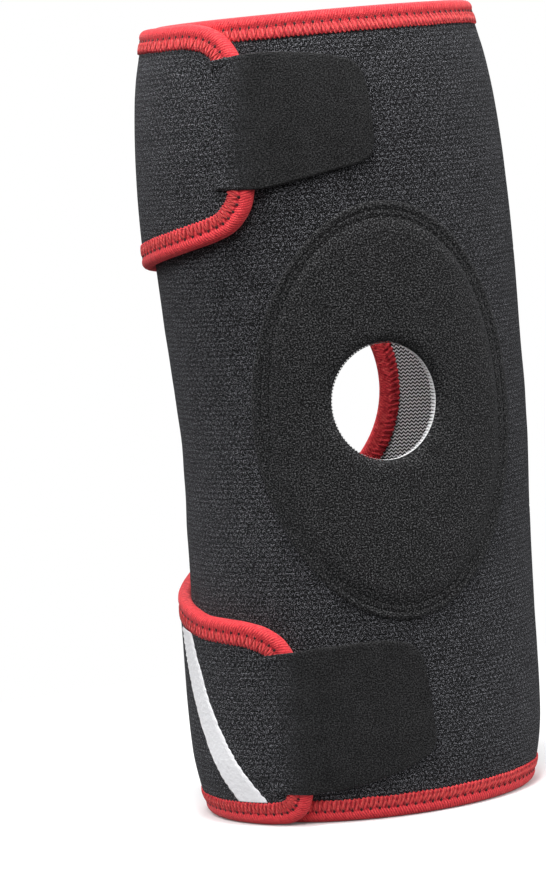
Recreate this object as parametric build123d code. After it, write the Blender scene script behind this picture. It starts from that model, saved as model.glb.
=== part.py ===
"""Wrap-around open-patella knee brace, closed as worn. Millimetres, +Z up, front of the knee at -Y.

The brace is a soft laminate sheet bent round the knee. Positions on it are given by an angle PHI, 0 at the
front of the knee and positive towards +X, by the height Z and by an offset from the panel's outer surface.
Two straps leave the back of the panel at PHI 200, pass over the panel's free edge and round the left side,
and end at the front in hook tabs that land on the loop fabric.
"""

from build123d import *
import math
import os

os.makedirs("parts", exist_ok=True)

# ---------------------------------------------------------------- driving dimensions
HEIGHT = 300.0
# height, half width, half depth and sideways shift of the panel's outer surface
SECTIONS = [
    (0.0, 60.6, 50.4, -1.6),
    (10.0, 63.6, 52.8, -1.5),
    (25.0, 65.9, 54.7, -1.3),
    (60.0, 66.5, 55.4, -0.7),
    (100.0, 66.5, 55.7, 0.6),
    (140.0, 66.9, 56.0, 2.2),
    (185.0, 68.3, 57.0, 1.4),
    (225.0, 68.9, 57.5, 0.5),
    (260.0, 67.4, 56.3, 0.0),
    (280.0, 64.9, 54.2, -0.1),
    (292.0, 62.1, 51.8, -0.2),
    (300.0, 60.2, 50.2, -0.2),
]
SHIFT_X = 1.92  # puts the origin under the middle of the whole brace
SHIFT_Y = 0.97

FABRIC_T = 0.75  # brushed loop knit on the outside
CORE_T = 2.6  # closed-cell rubber foam
LINING_T = 0.55  # jersey on the skin side
PLY_GAP = 0.05
TAPE_W = 8.5  # folded edge tape
TAPE_T = 0.7
TAPE_PROUD = 0.15
THREAD_T = 0.35
THREAD_W = 0.7

STRAP_T = 3.5
STRAP_CORE_T = 2.15
STRAP_LIFT = 0.75  # strap's inner face over the panel
ROOT_PHI = 200.0
SIDE_PHI = 265.0
SLIT = 0.5  # degrees each side of a hinge line
TAB_PHI = 331.0
TAB_LIFT = 0.4
TAB_T = 1.5
HOOK_T = 0.9

HOLE_X, HOLE_Z, HOLE_A, HOLE_B = 0.3, 155.3, 20.2, 22.0
PAD_X, PAD_Z, PAD_A, PAD_B = 2.9, 151.5, 49.4, 77.5
PAD_FOAM_T = 1.2

CUT_PHI, CUT_Z, CUT_DPHI, CUT_DZ = 206.0, 155.0, 49.0, 50.0
FREE_PHI, FREE_DPHI = 237.0, 9.0

# edges of the straps and tabs as (PHI, Z)
UPPER_TOP = [(200, 299.6), (230, 299.5), (265, 299.2), (288, 298.9), (306.5, 298.1), (312.2, 296.4), (316.6, 293.6), (320.0, 290.0), (322.5, 285.7)]
UPPER_END = [(322.5, 285.7), (324.9, 279.0), (325.9, 262.0), (325.7, 246.0), (324.8, 236.0)]
UPPER_LOW = [(200, 204.6), (230, 206.6), (260, 210.0), (283, 213.4), (300.0, 216.8), (311.2, 219.7), (316.9, 222.3), (321.6, 227.3), (323.4, 230.6), (324.8, 236.0)]
LOWER_TOP = [(200, 105.4), (215, 99.4), (230, 93.6), (245, 88.6), (260, 84.8), (270, 82.8), (279, 81.0), (287, 79.3), (299.5, 78.2), (306.8, 77.3), (316.0, 74.3), (320.8, 70.4), (323.5, 65.8)]
LOWER_END = [(323.5, 65.8), (325.5, 58.0), (326.3, 40.0), (326.3, 22.0), (325.6, 10.4)]
LOWER_LOW = [(200, 0.4), (230, 0.4), (265, 0.4), (297, 0.4), (310.5, 0.5), (317.5, 1.4), (323.0, 5.2), (325.6, 10.4)]
UPPER_TAB = [(327.5, 286.4), (342.5, 285.2), (354.5, 282.6), (360, 279.8), (362.7, 272.0), (363.4, 261.0), (363.1, 250.5), (361.5, 245.4), (358, 243.2), (350, 241.4), (340, 239.1), (327.5, 237.0)]
LOWER_TAB = [(327.5, 66.5), (339.5, 67.3), (356.5, 66.9), (362, 64.8), (365.1, 60.0), (366.5, 49.7), (367.7, 36.0), (368.2, 29.0), (366.9, 24.4), (362.5, 21.2), (354.5, 17.4), (342.5, 13.9), (327.5, 12.2)]


# ---------------------------------------------------------------- the brace's surface
def section(z):
    """Half width, half depth and shift at height z."""
    z = min(max(z, 0.0), HEIGHT)
    n = len(SECTIONS)
    i = 0
    while i < n - 2 and z > SECTIONS[i + 1][0]:
        i += 1

    def slope(k, c):
        lo, hi = max(k - 1, 0), min(k + 1, n - 1)
        return (SECTIONS[hi][c] - SECTIONS[lo][c]) / (SECTIONS[hi][0] - SECTIONS[lo][0])

    h = SECTIONS[i + 1][0] - SECTIONS[i][0]
    t = (z - SECTIONS[i][0]) / h
    out = []
    for c in (1, 2, 3):
        a, b = SECTIONS[i][c], SECTIONS[i + 1][c]
        ma, mb = slope(i, c) * h, slope(i + 1, c) * h
        out.append((2 * t**3 - 3 * t**2 + 1) * a + (t**3 - 2 * t**2 + t) * ma + (-2 * t**3 + 3 * t**2) * b + (t**3 - t**2) * mb)
    return out


def point(phi, z, off=0.0):
    a, b, cx = section(z)
    f = math.radians(phi)
    return Vector(cx + SHIFT_X + (a + off) * math.sin(f), SHIFT_Y - (b + off) * math.cos(f), z)


def smooth(t):
    t = min(max(t, 0.0), 1.0)
    return t * t * (3 - 2 * t)


def strap_in(phi):
    """Offset of a strap's inner face: in line with the panel at its root, over the free edge further round."""
    return -STRAP_T + (STRAP_T + STRAP_LIFT) * smooth((phi - 203.0) / 28.0)


def tab_in(phi):
    """Offset of a tab's hook face: on top of the strap's end, then down onto the panel."""
    top = STRAP_LIFT + STRAP_T + TAPE_PROUD + 0.15
    return top + (TAB_LIFT - top) * smooth((phi - 326.5) / 3.9)


STATIONS = [0.0, 14.0, 45.0, 115.0, 190.0, 250.0, 284.0, 300.0]
_tubes = {}


def tube(off):
    """The solid inside the panel's outer surface moved out by off."""
    key = round(off, 4)
    if key not in _tubes:
        wires = []
        for z in STATIONS:
            a, b, cx = section(z)
            plane = Plane(origin=(cx + SHIFT_X, SHIFT_Y, z), x_dir=(1, 0, 0), z_dir=(0, 0, 1))
            wires.append(Wire([Edge.make_ellipse(a + off, b + off, plane)]))
        _tubes[key] = Solid.make_loft(wires)
    return _tubes[key]


def shell(outer, inner):
    return tube(outer) - tube(inner)


def slab(z0, z1):
    return Solid.make_box(400, 400, z1 - z0, Plane(origin=(-200, -200, z0)))


def frange(a, b, n):
    return [a + (b - a) * k / (n - 1) for k in range(n)]


def sector(phi0, phi1, inner, thick0, thick1, z0, z1, n=9, nz=5):
    """A bent plate from phi0 to phi1, between inner(phi) + thick0 and inner(phi) + thick1."""
    wires = []
    phis = frange(phi0, phi1, n)
    for z in frange(z0, z1, nz):
        out = [point(p, z, inner(p) + thick1) for p in phis]
        back = [point(p, z, inner(p) + thick0) for p in reversed(phis)]
        wires.append(
            Wire(
                [
                    Edge.make_spline(out),
                    Edge.make_line(out[-1], back[0]),
                    Edge.make_spline(back),
                    Edge.make_line(back[-1], out[0]),
                ]
            )
        )
    return Solid.make_loft(wires)


def prism(runs, psi, near=8.0, far=120.0, off=0.0):
    """Cuts through the wall along the direction psi. runs are curves of (PHI, Z) points that close in turn;
    a curve of two points is a straight line."""
    f = math.radians(psi)
    normal = Vector(math.sin(f), -math.cos(f), 0)
    right = Vector(math.cos(f), math.sin(f), 0)
    origin = Vector(SHIFT_X, SHIFT_Y, 0) + normal * near

    def flat(p):
        q = point(p[0], p[1], off) - Vector(SHIFT_X, SHIFT_Y, 0)
        return origin + right * q.dot(right) + Vector(0, 0, p[1])

    edges = []
    last = None
    first = None
    for run in runs:
        pts = [flat(p) for p in run]
        if first is None:
            first = pts[0]
        if last is not None and (pts[0] - last).length > 1e-4:
            edges.append(Edge.make_line(last, pts[0]))
        if last is not None and (pts[0] - last).length <= 1e-4:
            pts[0] = last
        edges.append(Edge.make_line(pts[0], pts[1]) if len(pts) == 2 else Edge.make_spline(pts))
        last = pts[-1]
    if (first - last).length > 1e-4:
        edges.append(Edge.make_line(last, first))
    face = Face(Wire(edges))
    return Solid.extrude(face, normal * (far - near))


def mm_per_deg(phi, z):
    return (point(phi + 0.5, z, 0) - point(phi - 0.5, z, 0)).length


def inset(curve, w, side):
    """Moves an edge curve sideways by w mm in the sheet; side +1 moves to the left of its direction."""
    if w == 0:
        return list(curve)
    out = []
    for k, (p, z) in enumerate(curve):
        p0, z0 = curve[max(k - 1, 0)]
        p1, z1 = curve[min(k + 1, len(curve) - 1)]
        m = mm_per_deg(p, min(max(z, 1), HEIGHT - 1))
        dx, dz = (p1 - p0) * m, z1 - z0
        ln = math.hypot(dx, dz)
        nx, nz = -dz / ln * side, dx / ln * side
        out.append((p + nx * w / m, z + nz * w))
    # drops points that folded back over each other at a tight corner
    kept = [out[0]]
    for k in range(1, len(out)):
        d0 = (curve[k][0] - curve[k - 1][0], curve[k][1] - curve[k - 1][1])
        d1 = (out[k][0] - kept[-1][0], out[k][1] - kept[-1][1])
        if d0[0] * d1[0] + d0[1] * d1[1] > 0:
            kept.append(out[k])
    return kept


def clip(curve, lo, hi):
    """The part of a curve between two angles, with its ends on them."""
    out = []
    for k in range(len(curve) - 1):
        (p0, z0), (p1, z1) = curve[k], curve[k + 1]
        for edge in (lo, hi):
            if p0 < edge < p1:
                t = (edge - p0) / (p1 - p0)
                out.append((edge, z0 + (z1 - z0) * t))
        if lo <= p1 <= hi:
            out.append((p1, z1))
        if k == 0 and lo <= p0 <= hi:
            out.insert(0, (p0, z0))
    out.sort(key=lambda q: q[0])
    clean = [out[0]]
    for q in out[1:]:
        if q[0] - clean[-1][0] > 0.4:
            clean.append(q)
    return clean


def save(name, shape):
    solids = [s for s in shape.solids() if s.volume > 0.5]
    body = solids[0] if len(solids) == 1 else Compound(children=solids)
    export_step(body, f"parts/{name}.step")
    print(name, len(solids), round(sum(s.volume for s in solids)))
    return body


# ---------------------------------------------------------------- the panel's openings
def opening(w):
    """The space behind the knee and the open strip at the back that only the straps cross, grown by w."""
    seam = ROOT_PHI - SLIT
    m = 1.12
    a, b = CUT_DPHI + w / m, CUT_DZ + w
    th = math.acos((CUT_PHI - seam) / a)
    arc = []
    for k in range(17):
        t = th - 2 * th * k / 16
        arc.append((CUT_PHI - a * math.cos(t), CUT_Z + b * math.sin(t)))
    free = []
    for k in range(13):
        z = -12 + (HEIGHT + 24) * k / 12
        g = math.exp(-(((z - CUT_Z) / 52.0) ** 2))
        free.append((FREE_PHI + FREE_DPHI * g + w / 1.03, z))
    return prism(
        [
            [(seam, HEIGHT + 12), arc[0]],
            arc,
            [arc[-1], (seam, -12)],
            free,
        ],
        200.0,
        near=4.0,
    )


def oval(cx, cz, a, b, near=10.0, far=90.0):
    plane = Plane(origin=(SHIFT_X + cx, SHIFT_Y - near, cz), x_dir=(1, 0, 0), z_dir=(0, -1, 0))
    if a >= b:
        e = Edge.make_ellipse(a, b, plane)
    else:
        plane = Plane(origin=(SHIFT_X + cx, SHIFT_Y - near, cz), x_dir=(0, 0, 1), z_dir=(0, -1, 0))
        e = Edge.make_ellipse(b, a, plane)
    return Solid.extrude(Face(Wire([e])), Vector(0, -1, 0) * (far - near))


open_0 = opening(0.0)
open_core = opening(TAPE_T)
open_fabric = opening(TAPE_W + PLY_GAP)
hole = oval(HOLE_X, HOLE_Z, HOLE_A, HOLE_B)

FAB_IN = -FABRIC_T
CORE_OUT, CORE_IN = FAB_IN - PLY_GAP, FAB_IN - PLY_GAP - CORE_T
LIN_OUT, LIN_IN = CORE_IN - PLY_GAP, CORE_IN - PLY_GAP - LINING_T
in_edge = slab(TAPE_W + PLY_GAP, HEIGHT - TAPE_W - PLY_GAP)
in_core = slab(TAPE_T, HEIGHT - TAPE_T)

core = (shell(CORE_OUT, CORE_IN) & in_core) - open_core - hole
save("panel_foam_core", core)
save("panel_outer_fabric", (shell(0.0, FAB_IN) & in_edge) - open_fabric - hole)
save("panel_lining", (shell(LIN_OUT, LIN_IN) & in_edge) - open_fabric - hole)

# ---------------------------------------------------------------- edge tapes of the panel
tape_wall = shell(TAPE_PROUD, LIN_IN - TAPE_PROUD)
core_room = shell(CORE_OUT + 0.02, CORE_IN - 0.02)
thread_wall = shell(TAPE_PROUD + 0.02 + THREAD_T, TAPE_PROUD + 0.02)


def edge_tape(name, band, core_part, stitch):
    """A folded tape over the panel's edge, and the stitching on its outer leg."""
    save(name + "_binding", (tape_wall & band) - (core_room & core_part))
    save(name + "_thread", thread_wall & stitch)


top_band = slab(HEIGHT - TAPE_W, HEIGHT) - open_0
low_band = slab(0, TAPE_W) - open_0
seam_z = 5.6
edge_tape("top_edge", top_band, slab(0, HEIGHT - TAPE_T + 0.02) - open_core, slab(HEIGHT - seam_z - THREAD_W / 2, HEIGHT - seam_z + THREAD_W / 2) - open_core)
edge_tape("bottom_edge", low_band, slab(TAPE_T - 0.02, HEIGHT) - open_core, slab(seam_z - THREAD_W / 2, seam_z + THREAD_W / 2) - open_core)

side_band = (opening(TAPE_W) - open_0) & slab(TAPE_W + PLY_GAP, HEIGHT - TAPE_W - PLY_GAP)
lane = opening(seam_z + THREAD_W / 2) - opening(seam_z - THREAD_W / 2)
side_tape = (tape_wall & side_band) - (core_room - opening(TAPE_T - 0.02))
side_thread = thread_wall & (lane & slab(TAPE_W + PLY_GAP + 0.2, HEIGHT - TAPE_W - PLY_GAP - 0.2))
left = Solid.make_box(400, 400, 400, Plane(origin=(-400 - 40, -200, -50)))
save("free_edge_binding", side_tape & left)
save("free_edge_thread", side_thread & left)
save("popliteal_binding", side_tape - left)
save("popliteal_thread", side_thread - left)

# ---------------------------------------------------------------- patella pad
front = Solid.make_box(400, 200, 400, Plane(origin=(-200, -200, -50)))
pad = oval(PAD_X, PAD_Z, PAD_A, PAD_B)
pad_room = oval(PAD_X, PAD_Z, PAD_A - 1.5, PAD_B - 1.5)
foam_out = PLY_GAP + PAD_FOAM_T
save("patella_pad_foam", ((shell(foam_out, PLY_GAP) & pad_room) & front) - hole)
cover = (shell(foam_out + PLY_GAP + 0.65, PLY_GAP) & pad) - (shell(foam_out + PLY_GAP, 0.0) & oval(PAD_X, PAD_Z, PAD_A - 1.4, PAD_B - 1.4))
save("patella_pad_cover", (cover & front) - hole)
cover_out = foam_out + PLY_GAP + 0.65
rows = []
for d in (2.6, 4.8):
    ring = oval(PAD_X, PAD_Z, PAD_A - d, PAD_B - d) - oval(PAD_X, PAD_Z, PAD_A - d - THREAD_W, PAD_B - d - THREAD_W)
    rows.append((shell(cover_out + 0.02 + THREAD_T, cover_out + 0.02) & ring) & front)
save("patella_pad_thread", Compound(children=[s for r in rows for s in r.solids()]))
rim = oval(HOLE_X, HOLE_Z, HOLE_A + 3.2, HOLE_B + 3.2) - oval(HOLE_X, HOLE_Z, HOLE_A + 0.2, HOLE_B + 0.2)
save("patella_hole_thread", (shell(LIN_IN - 0.03, LIN_IN - 0.45) & rim) & front)


# ---------------------------------------------------------------- straps
def strap(name, top, end, low, tab):
    """One strap in two stiff lengths, with its tapes, threads and hook tab."""
    zlo = max(min(z for _, z in low) - 0.0, 0.0)
    zhi = min(max(z for _, z in top) + 0.0, HEIGHT)
    zlo, zhi = max(zlo - 3, 0.0), min(zhi + 3, HEIGHT)
    pieces = {
        "rear": (ROOT_PHI + SLIT, SIDE_PHI - SLIT, 232.0),
        "front": (SIDE_PHI + SLIT, 326.4, 297.0),
    }
    for part, (p0, p1, psi) in pieces.items():
        tip = part == "front"

        def outline(w, grow=0.0):
            up = inset(clip(top, p0 - 6, p1 + 6) if not tip else clip(top, p0 - 6, 400), w, -1)
            dn = inset(clip(low, p0 - 6, p1 + 6) if not tip else clip(low, p0 - 6, 400), w, +1)
            if not tip:
                return prism([up, list(reversed(dn))], psi, off=2.0)
            if w == 0:
                return prism([up, end, list(reversed(dn))], psi, off=2.0)
            # inside the tip the end is a plain line, and the tapes stop there
            up = [q for q in up if q[0] < 322.0]
            dn = [q for q in dn if q[0] < 324.0]
            return prism([up, [up[-1], dn[-1]], list(reversed(dn))], psi, off=2.0)

        def plate(t0, t1):
            return sector(p0, p1, strap_in, t0, t1, zlo, zhi)

        whole = outline(0.0)
        trimmed = outline(TAPE_T)
        face = outline(TAPE_W + PLY_GAP)
        lining_t = LINING_T
        core_t0 = lining_t + PLY_GAP
        core_t1 = core_t0 + STRAP_CORE_T
        save(f"{name}_strap_{part}_core", plate(core_t0, core_t1) & trimmed)
        save(f"{name}_strap_{part}_fabric", plate(core_t1 + PLY_GAP, STRAP_T) & face)
        save(f"{name}_strap_{part}_lining", plate(0.0, lining_t) & face)
        wall = plate(-TAPE_PROUD, STRAP_T + TAPE_PROUD)
        band = whole - outline(TAPE_W)
        room = plate(core_t0 - 0.02, core_t1 + 0.02) & outline(TAPE_T - 0.02)
        tape = (wall & band) - room
        on_top = STRAP_T + TAPE_PROUD + 0.02
        thread = plate(on_top, on_top + THREAD_T) & (outline(seam_z - THREAD_W / 2) - outline(seam_z + THREAD_W / 2))
        if tip:
            # the tapes run into the tab's corners and end there
            keep = Solid.make_box(400, 400, 400, Plane(origin=(-400 + point(325.0, (zlo + zhi) / 2, 4).X, -200, -50)))
            tape, thread = tape & keep, thread & keep
            tab_zone = sector(310.5, 328.0, tab_in, -0.25, 4.0, zlo, zhi) & prism([tab_run(tab, 0.0)[0], tab_run(tab, 0.0)[1]], 321.5, off=4.0)
            mid = (zlo + zhi) / 2
            cut = slab(min(z for _, z in tab) + 8.6, max(z for _, z in tab) - 8.6)
            tape, thread = tape - cut, thread - cut
            thread = thread - tab_zone
        mid = sum(z for _, z in top[:3]) / 6 + sum(z for _, z in low[:3]) / 6
        hi, lo = slab(mid, HEIGHT + 10), slab(-10, mid)
        save(f"{name}_strap_{part}_top_binding", tape & hi)
        save(f"{name}_strap_{part}_low_binding", tape & lo)
        save(f"{name}_strap_{part}_thread", thread)


def tab_run(tab, w):
    """The tab's sewn end on the strap, as a top run and a low run."""
    z1, z0 = tab[0][1], tab[-1][1]
    return [(312.5, z1 - 3.0 - w), (319.5, z1 - 1.6 - w), (327.5, z1 - w), (332.5, z1 - w)], [(332.5, z0 + w), (327.5, z0 + w), (319.5, z0 + 1.0 + w), (312.5, z0 + 2.2 + w)]


def tab(name, pts):
    zlo, zhi = max(min(z for _, z in pts) - 3, 0), min(max(z for _, z in pts) + 3, HEIGHT)
    up, dn = tab_run(pts, 0.0)
    up[0], dn[-1] = (313.5, up[0][1]), (313.5, dn[-1][1])
    base = sector(309.5, TAB_PHI - SLIT, tab_in, 0.0, TAB_T, zlo, zhi, n=13) & prism([up, dn], 321.5, off=4.0)
    save(f"{name}_tab_sewn_end", base)
    ring = prism([[(315.0, up[0][1] - 1.9), (319.5, up[1][1] - 2.1), (324.5, up[2][1] - 2.4)], [(324.5, dn[1][1] + 2.4), (319.5, dn[2][1] + 2.1), (315.0, dn[3][1] + 1.9)]], 321.5, off=4.0)
    inner = prism([[(315.8, up[0][1] - 2.6), (319.5, up[1][1] - 2.8), (323.7, up[2][1] - 3.1)], [(323.7, dn[1][1] + 3.1), (319.5, dn[2][1] + 2.8), (315.8, dn[3][1] + 2.6)]], 321.5, off=4.0)
    save(f"{name}_tab_thread", sector(309.5, 326.0, tab_in, TAB_T + 0.02, TAB_T + 0.02 + THREAD_T, zlo, zhi) & (ring - inner))
    start = TAB_PHI + SLIT
    z1, z0 = pts[0][1], pts[-1][1]
    free = prism([[(TAB_PHI - 2, z1), pts[1]], pts[1:-1], [pts[-2], (TAB_PHI - 2, z0)]], 347.0, off=1.0)
    flat = lambda p: TAB_LIFT
    save(f"{name}_hook_tape", sector(start, 370.5, flat, 0.0, HOOK_T, zlo, zhi) & free)
    save(f"{name}_tab_backing", sector(start, 370.5, flat, HOOK_T + PLY_GAP, TAB_T, zlo, zhi) & free)


strap("upper", UPPER_TOP, UPPER_END, UPPER_LOW, UPPER_TAB)
strap("lower", LOWER_TOP, LOWER_END, LOWER_LOW, LOWER_TAB)
tab("upper", UPPER_TAB)
tab("lower", LOWER_TAB)

# ---------------------------------------------------------------- pale diagonal band on the lower strap
stripe = prism(
    [
        [(268.5, 72.0), (277.5, 72.0)],
        [(277.5, 72.0), (287.5, 48.0), (298.5, 27.0), (310.0, 9.2)],
        [(310.0, 9.2), (296.5, 9.2)],
        [(296.5, 9.2), (284.5, 30.0), (275.5, 52.0), (268.5, 72.0)],
    ],
    295.5,
    off=4.0,
)
save("lower_strap_stripe", sector(SIDE_PHI + SLIT, 326.4, strap_in, STRAP_T + 0.06, STRAP_T + 0.41, 0.0, LOWER_TOP[0][1] + 3.0) & stripe)

# ---------------------------------------------------------------- flat seams where the straps join the panel
for name, z0, z1 in (("upper", CUT_Z + CUT_DZ + TAPE_W + 1.5, HEIGHT - TAPE_W - 0.5), ("lower", TAPE_W + 0.5, CUT_Z - CUT_DZ - TAPE_W - 1.5)):
    lane = sector(ROOT_PHI - 3.6, ROOT_PHI - 1.0, lambda p: 0.0, 0.32, 0.32 + THREAD_T, z0, z1, n=5)
    save(f"{name}_root_seam", lane)
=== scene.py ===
"""Visual model of the wrap-around knee brace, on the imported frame. Lengths in the helper functions are in
millimetres in the sheet's own coordinates (PHI in degrees, Z, offset from the outer surface)."""

import math

import bpy
import numpy as np
from mathutils import Matrix, Vector

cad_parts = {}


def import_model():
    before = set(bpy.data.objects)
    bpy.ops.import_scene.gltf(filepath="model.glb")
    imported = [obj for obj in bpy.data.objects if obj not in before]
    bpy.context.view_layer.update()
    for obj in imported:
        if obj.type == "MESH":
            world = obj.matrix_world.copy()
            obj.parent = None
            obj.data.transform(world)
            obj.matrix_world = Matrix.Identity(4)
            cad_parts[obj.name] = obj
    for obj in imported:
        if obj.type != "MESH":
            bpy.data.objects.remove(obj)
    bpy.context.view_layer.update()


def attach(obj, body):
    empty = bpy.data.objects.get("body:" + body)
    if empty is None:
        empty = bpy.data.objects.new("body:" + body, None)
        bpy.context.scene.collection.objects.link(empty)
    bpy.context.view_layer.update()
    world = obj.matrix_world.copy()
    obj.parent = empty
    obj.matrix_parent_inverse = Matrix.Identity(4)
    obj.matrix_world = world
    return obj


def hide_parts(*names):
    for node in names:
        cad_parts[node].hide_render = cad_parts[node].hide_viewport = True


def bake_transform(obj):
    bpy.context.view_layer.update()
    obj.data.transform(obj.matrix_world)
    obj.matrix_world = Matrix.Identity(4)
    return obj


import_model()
RNG = np.random.default_rng(11)

# ------------------------------------------------------------------ the brace's surface
SECTIONS = np.array(
    [
        (0.0, 60.6, 50.4, -1.6),
        (10.0, 63.6, 52.8, -1.5),
        (25.0, 65.9, 54.7, -1.3),
        (60.0, 66.5, 55.4, -0.7),
        (100.0, 66.5, 55.7, 0.6),
        (140.0, 66.9, 56.0, 2.2),
        (185.0, 68.3, 57.0, 1.4),
        (225.0, 68.9, 57.5, 0.5),
        (260.0, 67.4, 56.3, 0.0),
        (280.0, 64.9, 54.2, -0.1),
        (292.0, 62.1, 51.8, -0.2),
        (300.0, 60.2, 50.2, -0.2),
    ]
)
SX, SY, HEIGHT = 1.92, 0.97, 300.0


def section(z):
    z = np.clip(np.asarray(z, float), 0, HEIGHT)
    S = SECTIONS
    n = len(S)
    m = np.empty((n, 3))
    for k in range(n):
        lo, hi = max(k - 1, 0), min(k + 1, n - 1)
        m[k] = (S[hi, 1:] - S[lo, 1:]) / (S[hi, 0] - S[lo, 0])
    i = np.clip(np.searchsorted(S[:, 0], z, side="right") - 1, 0, n - 2)
    h = S[i + 1, 0] - S[i, 0]
    t = (z - S[i, 0]) / h
    out = []
    for c in range(3):
        a, b = S[i, c + 1], S[i + 1, c + 1]
        ma, mb = m[i, c] * h, m[i + 1, c] * h
        out.append((2 * t**3 - 3 * t**2 + 1) * a + (t**3 - 2 * t**2 + t) * ma + (-2 * t**3 + 3 * t**2) * b + (t**3 - t**2) * mb)
    return out


def world(phi, z, off=0.0):
    """Points of the sheet in metres."""
    phi, z, off = np.broadcast_arrays(np.asarray(phi, float), np.asarray(z, float), np.asarray(off, float))
    a, b, cx = section(z)
    f = np.radians(phi)
    return np.stack([cx + SX + (a + off) * np.sin(f), SY - (b + off) * np.cos(f), z], -1) / 1000.0


def smooth(t):
    t = np.clip(t, 0, 1)
    return t * t * (3 - 2 * t)


def strap_in(phi):
    return -3.5 + 4.25 * smooth((np.asarray(phi, float) - 203.0) / 28.0)


# running length round the brace at mid height, for patterns that follow the sheet
_P = np.linspace(-200, 420, 2481)
_A, _B = 67.5, 56.5
_L = np.concatenate([[0], np.cumsum(np.hypot(_A * np.cos(np.radians(_P[1:])), _B * np.sin(np.radians(_P[1:]))) * np.radians(np.diff(_P)))])


def arc(phi):
    return np.interp(phi, _P, _L)


def phi_of(length):
    return np.interp(length, _L, _P)


def value_noise(x, y, seed):
    """Smooth repeatable noise in [-1, 1]."""
    g = np.random.default_rng(seed).uniform(-1, 1, (64, 64))
    xi, yi = np.floor(x).astype(int), np.floor(y).astype(int)
    fx, fy = smooth(x - xi), smooth(y - yi)
    a = g[xi % 64, yi % 64] * (1 - fx) + g[(xi + 1) % 64, yi % 64] * fx
    b = g[xi % 64, (yi + 1) % 64] * (1 - fx) + g[(xi + 1) % 64, (yi + 1) % 64] * fx
    return a * (1 - fy) + b * fy


def undulate(phi, z, seed=3, amp=0.35):
    """Gentle waviness of hand-cut laminate."""
    u = arc(phi)
    return amp * (0.6 * value_noise(u / 23.0, np.asarray(z) / 29.0, seed) + 0.4 * value_noise(u / 9.0, np.asarray(z) / 11.0, seed + 1))


# ------------------------------------------------------------------ meshes
def mesh_object(name, co, faces, uv=None, mat=None, body=None, shade=True):
    me = bpy.data.meshes.new(name)
    co = np.asarray(co, float).reshape(-1, 3)
    faces = np.asarray(faces)
    me.vertices.add(len(co))
    me.vertices.foreach_set("co", co.astype(np.float32).ravel())
    if faces.ndim == 2:
        n, k = faces.shape
        me.loops.add(n * k)
        me.loops.foreach_set("vertex_index", faces.astype(np.int32).ravel())
        me.polygons.add(n)
        me.polygons.foreach_set("loop_start", np.arange(0, n * k, k, dtype=np.int32))
    me.update(calc_edges=True)
    me.validate()
    if shade:
        me.polygons.foreach_set("use_smooth", np.ones(len(me.polygons), bool))
    if uv is not None:
        layer = me.uv_layers.new(name="UVMap")
        idx = np.empty(len(me.loops), np.int32)
        me.loops.foreach_get("vertex_index", idx)
        layer.data.foreach_set("uv", np.asarray(uv, np.float32)[idx].ravel())
    me.update()
    ob = bpy.data.objects.new(name, me)
    bpy.context.scene.collection.objects.link(ob)
    if mat is not None:
        me.materials.append(mat)
    if body:
        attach(ob, body)
    return ob


def grid_faces(nu, nv, start=0, flip=False, wrap_u=False, wrap_v=False):
    """Quads of a grid of nu by nv points, stored u-major."""
    iu = np.arange(nu if wrap_u else nu - 1)
    iv = np.arange(nv if wrap_v else nv - 1)
    a, b = np.meshgrid(iu, iv, indexing="ij")
    a1, b1 = (a + 1) % nu, (b + 1) % nv
    q = np.stack([a * nv + b, a1 * nv + b, a1 * nv + b1, a * nv + b1], -1).reshape(-1, 4) + start
    return q[:, ::-1] if flip else q


def slab_mesh(phi, z, outer, inner, keep=None, round_w=0.0):
    """Closed plate over a grid of (phi, z); outer and inner are offsets. keep masks its cells."""
    nu, nv = phi.shape
    top = world(phi, z, outer).reshape(-1, 3)
    low = world(phi, z, inner).reshape(-1, 3)
    q = grid_faces(nu, nv)
    if keep is not None:
        q = q[keep.reshape(-1)]
    n = nu * nv
    edges = np.concatenate([q[:, [0, 1]], q[:, [1, 2]], q[:, [2, 3]], q[:, [3, 0]]])
    key = edges[:, 0].astype(np.int64) * n + edges[:, 1]
    rev = edges[:, 1].astype(np.int64) * n + edges[:, 0]
    rim = edges[~np.isin(key, rev)]
    side = np.stack([rim[:, 1], rim[:, 0], rim[:, 0] + n, rim[:, 1] + n], -1)
    faces = np.concatenate([q, q[:, ::-1] + n, side])
    co = np.concatenate([top, low])
    uv = np.stack([arc(phi).ravel(), z.ravel()], -1) / 1000.0
    uv = np.concatenate([uv, uv])
    used = np.unique(faces)
    remap = -np.ones(2 * n, int)
    remap[used] = np.arange(len(used))
    return co[used], remap[faces], uv[used]


def resample(curve, step=1.2):
    """Even points along a curve of (phi, z), smoothed; returns phi, z, running length."""
    c = np.array(curve, float)
    u = np.stack([arc(c[:, 0]), c[:, 1]], -1)
    d = np.concatenate([[0], np.cumsum(np.linalg.norm(np.diff(u, axis=0), axis=1))])
    n = max(int(d[-1] / step), 4)
    s = np.linspace(0, d[-1], n + 1)
    # cubic through the points
    m = np.gradient(u, d, axis=0)
    i = np.clip(np.searchsorted(d, s, side="right") - 1, 0, len(d) - 2)
    h = (d[i + 1] - d[i])[:, None]
    t = ((s - d[i])[:, None]) / h
    p = (2 * t**3 - 3 * t**2 + 1) * u[i] + (t**3 - 2 * t**2 + t) * m[i] * h + (-2 * t**3 + 3 * t**2) * u[i + 1] + (t**3 - t**2) * m[i + 1] * h
    run = np.concatenate([[0], np.cumsum(np.linalg.norm(np.diff(p, axis=0), axis=1))])
    return phi_of(p[:, 0]), p[:, 1], run


def side_of(phi, z):
    """Unit normals of a curve in the sheet, to the left of its direction."""
    u = np.stack([arc(phi), z], -1)
    t = np.gradient(u, axis=0)
    t /= np.linalg.norm(t, axis=1)[:, None]
    return np.stack([-t[:, 1], t[:, 0]], -1)


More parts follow.
